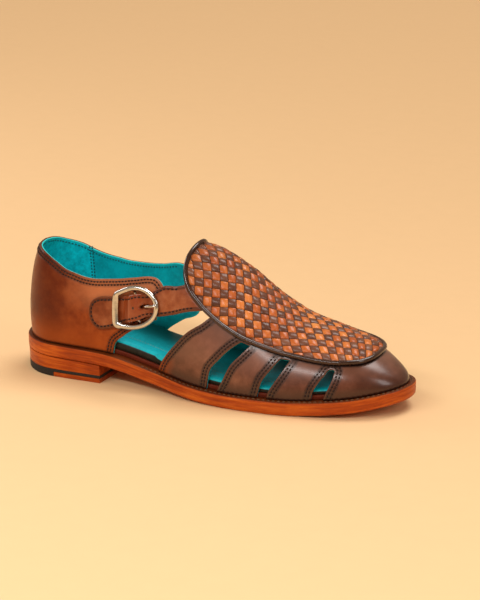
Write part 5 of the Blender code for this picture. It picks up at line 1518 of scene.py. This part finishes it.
loop_piece = mesh_piece("buckle_loop_leather", np.vstack(loop_points), loop_faces, sharp=50.0)
mark(loop_piece, "edges", np.tile((9.0, 9.0, 9.0), (len(loop_piece.data.vertices), 1)))
dressed(loop_piece, strap_leather, stands_for=["buckle_loop"])

# Studio: pale warm paper under the sandal, broad soft light from above and a little from the front, a long
# low window high in front, whose streak runs along toe and strap, and smaller windows at either end.
FLOOR_TONE, FLOOR_HALF = (0.82, 0.555, 0.300), 3
ROOM_TONE, ROOM_STRENGTH = (1.0, 0.76, 0.52, 1.0), 0.38
floor_mesh = bpy.data.meshes.new("studio_floor")
corners = [(x * FLOOR_HALF, y * FLOOR_HALF, 0) for x, y in ((-1, -1), (1, -1), (1, 1), (-1, 1))]
floor_mesh.from_pydata(corners, [], [(0, 1, 2, 3)])
studio_floor = placed("studio_floor", floor_mesh)
paper, shader = new_finish("warm_paper", 0.75, gloss=0.15)
fibre = mottle(object_place(shader), 60.0, 5.0)
feed(shader, "Base Color", stains(fibre, ((0.3, tuple(c * 0.985 for c in FLOOR_TONE)), (0.7, FLOOR_TONE))))
floor_mesh.materials.append(paper)

AIM = Vector((0.1692 - SHIFT[0], 0.0 - SHIFT[1], 0.065))
SUNS = (
    ("sky_panel", (0.22, 0.40, 1.0), 1.76, 32.0, (1.0, 0.98, 0.96)),
    ("front_panel", (-0.35, -1.0, 0.50), 0.14, 50.0, (1.0, 0.96, 0.92)),
)
WINDOWS = (
    ("window_above", (-0.12, -0.80, 0.66), 1.1, (1.10, 0.12), 6.2, (1.0, 0.98, 0.96)),
    ("window_right", (0.90, -0.25, 0.50), 1.3, (0.30, 0.50), 2.8, (1.0, 0.98, 0.96)),
    ("window_left", (-0.95, 0.05, 0.42), 1.3, (0.35, 0.60), 3.0, (1.0, 0.98, 0.97)),
)
for name, direction, strength, spread, colour in SUNS:
    lamp = bpy.data.lights.new(name, "SUN")
    lamp.energy, lamp.angle, lamp.color = strength, np.radians(spread), colour
    placed(name, lamp).rotation_euler = Vector(direction).to_track_quat("Z", "Y").to_euler()
for name, direction, distance, size, power, colour in WINDOWS:
    lamp = bpy.data.lights.new(name, "AREA")
    lamp.shape = "RECTANGLE"
    lamp.size, lamp.size_y = size
    lamp.energy, lamp.color = power, colour
    way, made = Vector(direction).normalized(), placed(name, lamp)
    made.location = AIM + way * distance
    made.rotation_euler = way.to_track_quat("Z", "Y").to_euler()
room = bpy.data.worlds.new("studio_room")
room.use_nodes = True
room.node_tree.nodes["Background"].inputs["Color"].default_value = ROOM_TONE
room.node_tree.nodes["Background"].inputs["Strength"].default_value = ROOM_STRENGTH
bpy.context.scene.world = room
bpy.context.scene.view_settings.view_transform = "Standard"

# Camera: the photo's own angle to the shoe, low from the outer front, with its long lens.
AZIMUTH, ELEVATION, ROLL = np.radians((25.32, 17.18, -0.31))
CAMERA_AIM, CAMERA_DISTANCE = (0.16925, 0.0, 0.06502), 1.58905
FOCAL_PIXELS, PHOTO_HEIGHT, SENSOR = 2233.2, 600, 36.0
level = np.cos(ELEVATION)
back_way = Vector((np.sin(AZIMUTH) * level, -np.cos(AZIMUTH) * level, np.sin(ELEVATION)))
right_way = Vector((np.cos(AZIMUTH), np.sin(AZIMUTH), 0.0))
up_way = back_way.cross(right_way)
right = right_way * np.cos(ROLL) + up_way * np.sin(ROLL)
upright = up_way * np.cos(ROLL) - right_way * np.sin(ROLL)
lens = bpy.data.cameras.new("camera")
lens.lens, lens.sensor_width = FOCAL_PIXELS / PHOTO_HEIGHT * SENSOR, SENSOR
lens.clip_start, lens.clip_end = 0.05, 20.0
camera = placed("camera", lens)
spot = Vector(CAMERA_AIM) - Vector(SHIFT) + back_way * CAMERA_DISTANCE
turned = Matrix((right, upright, back_way)).transposed().to_4x4()
camera.matrix_world = Matrix.Translation(spot) @ turned
bpy.context.scene.camera = camera
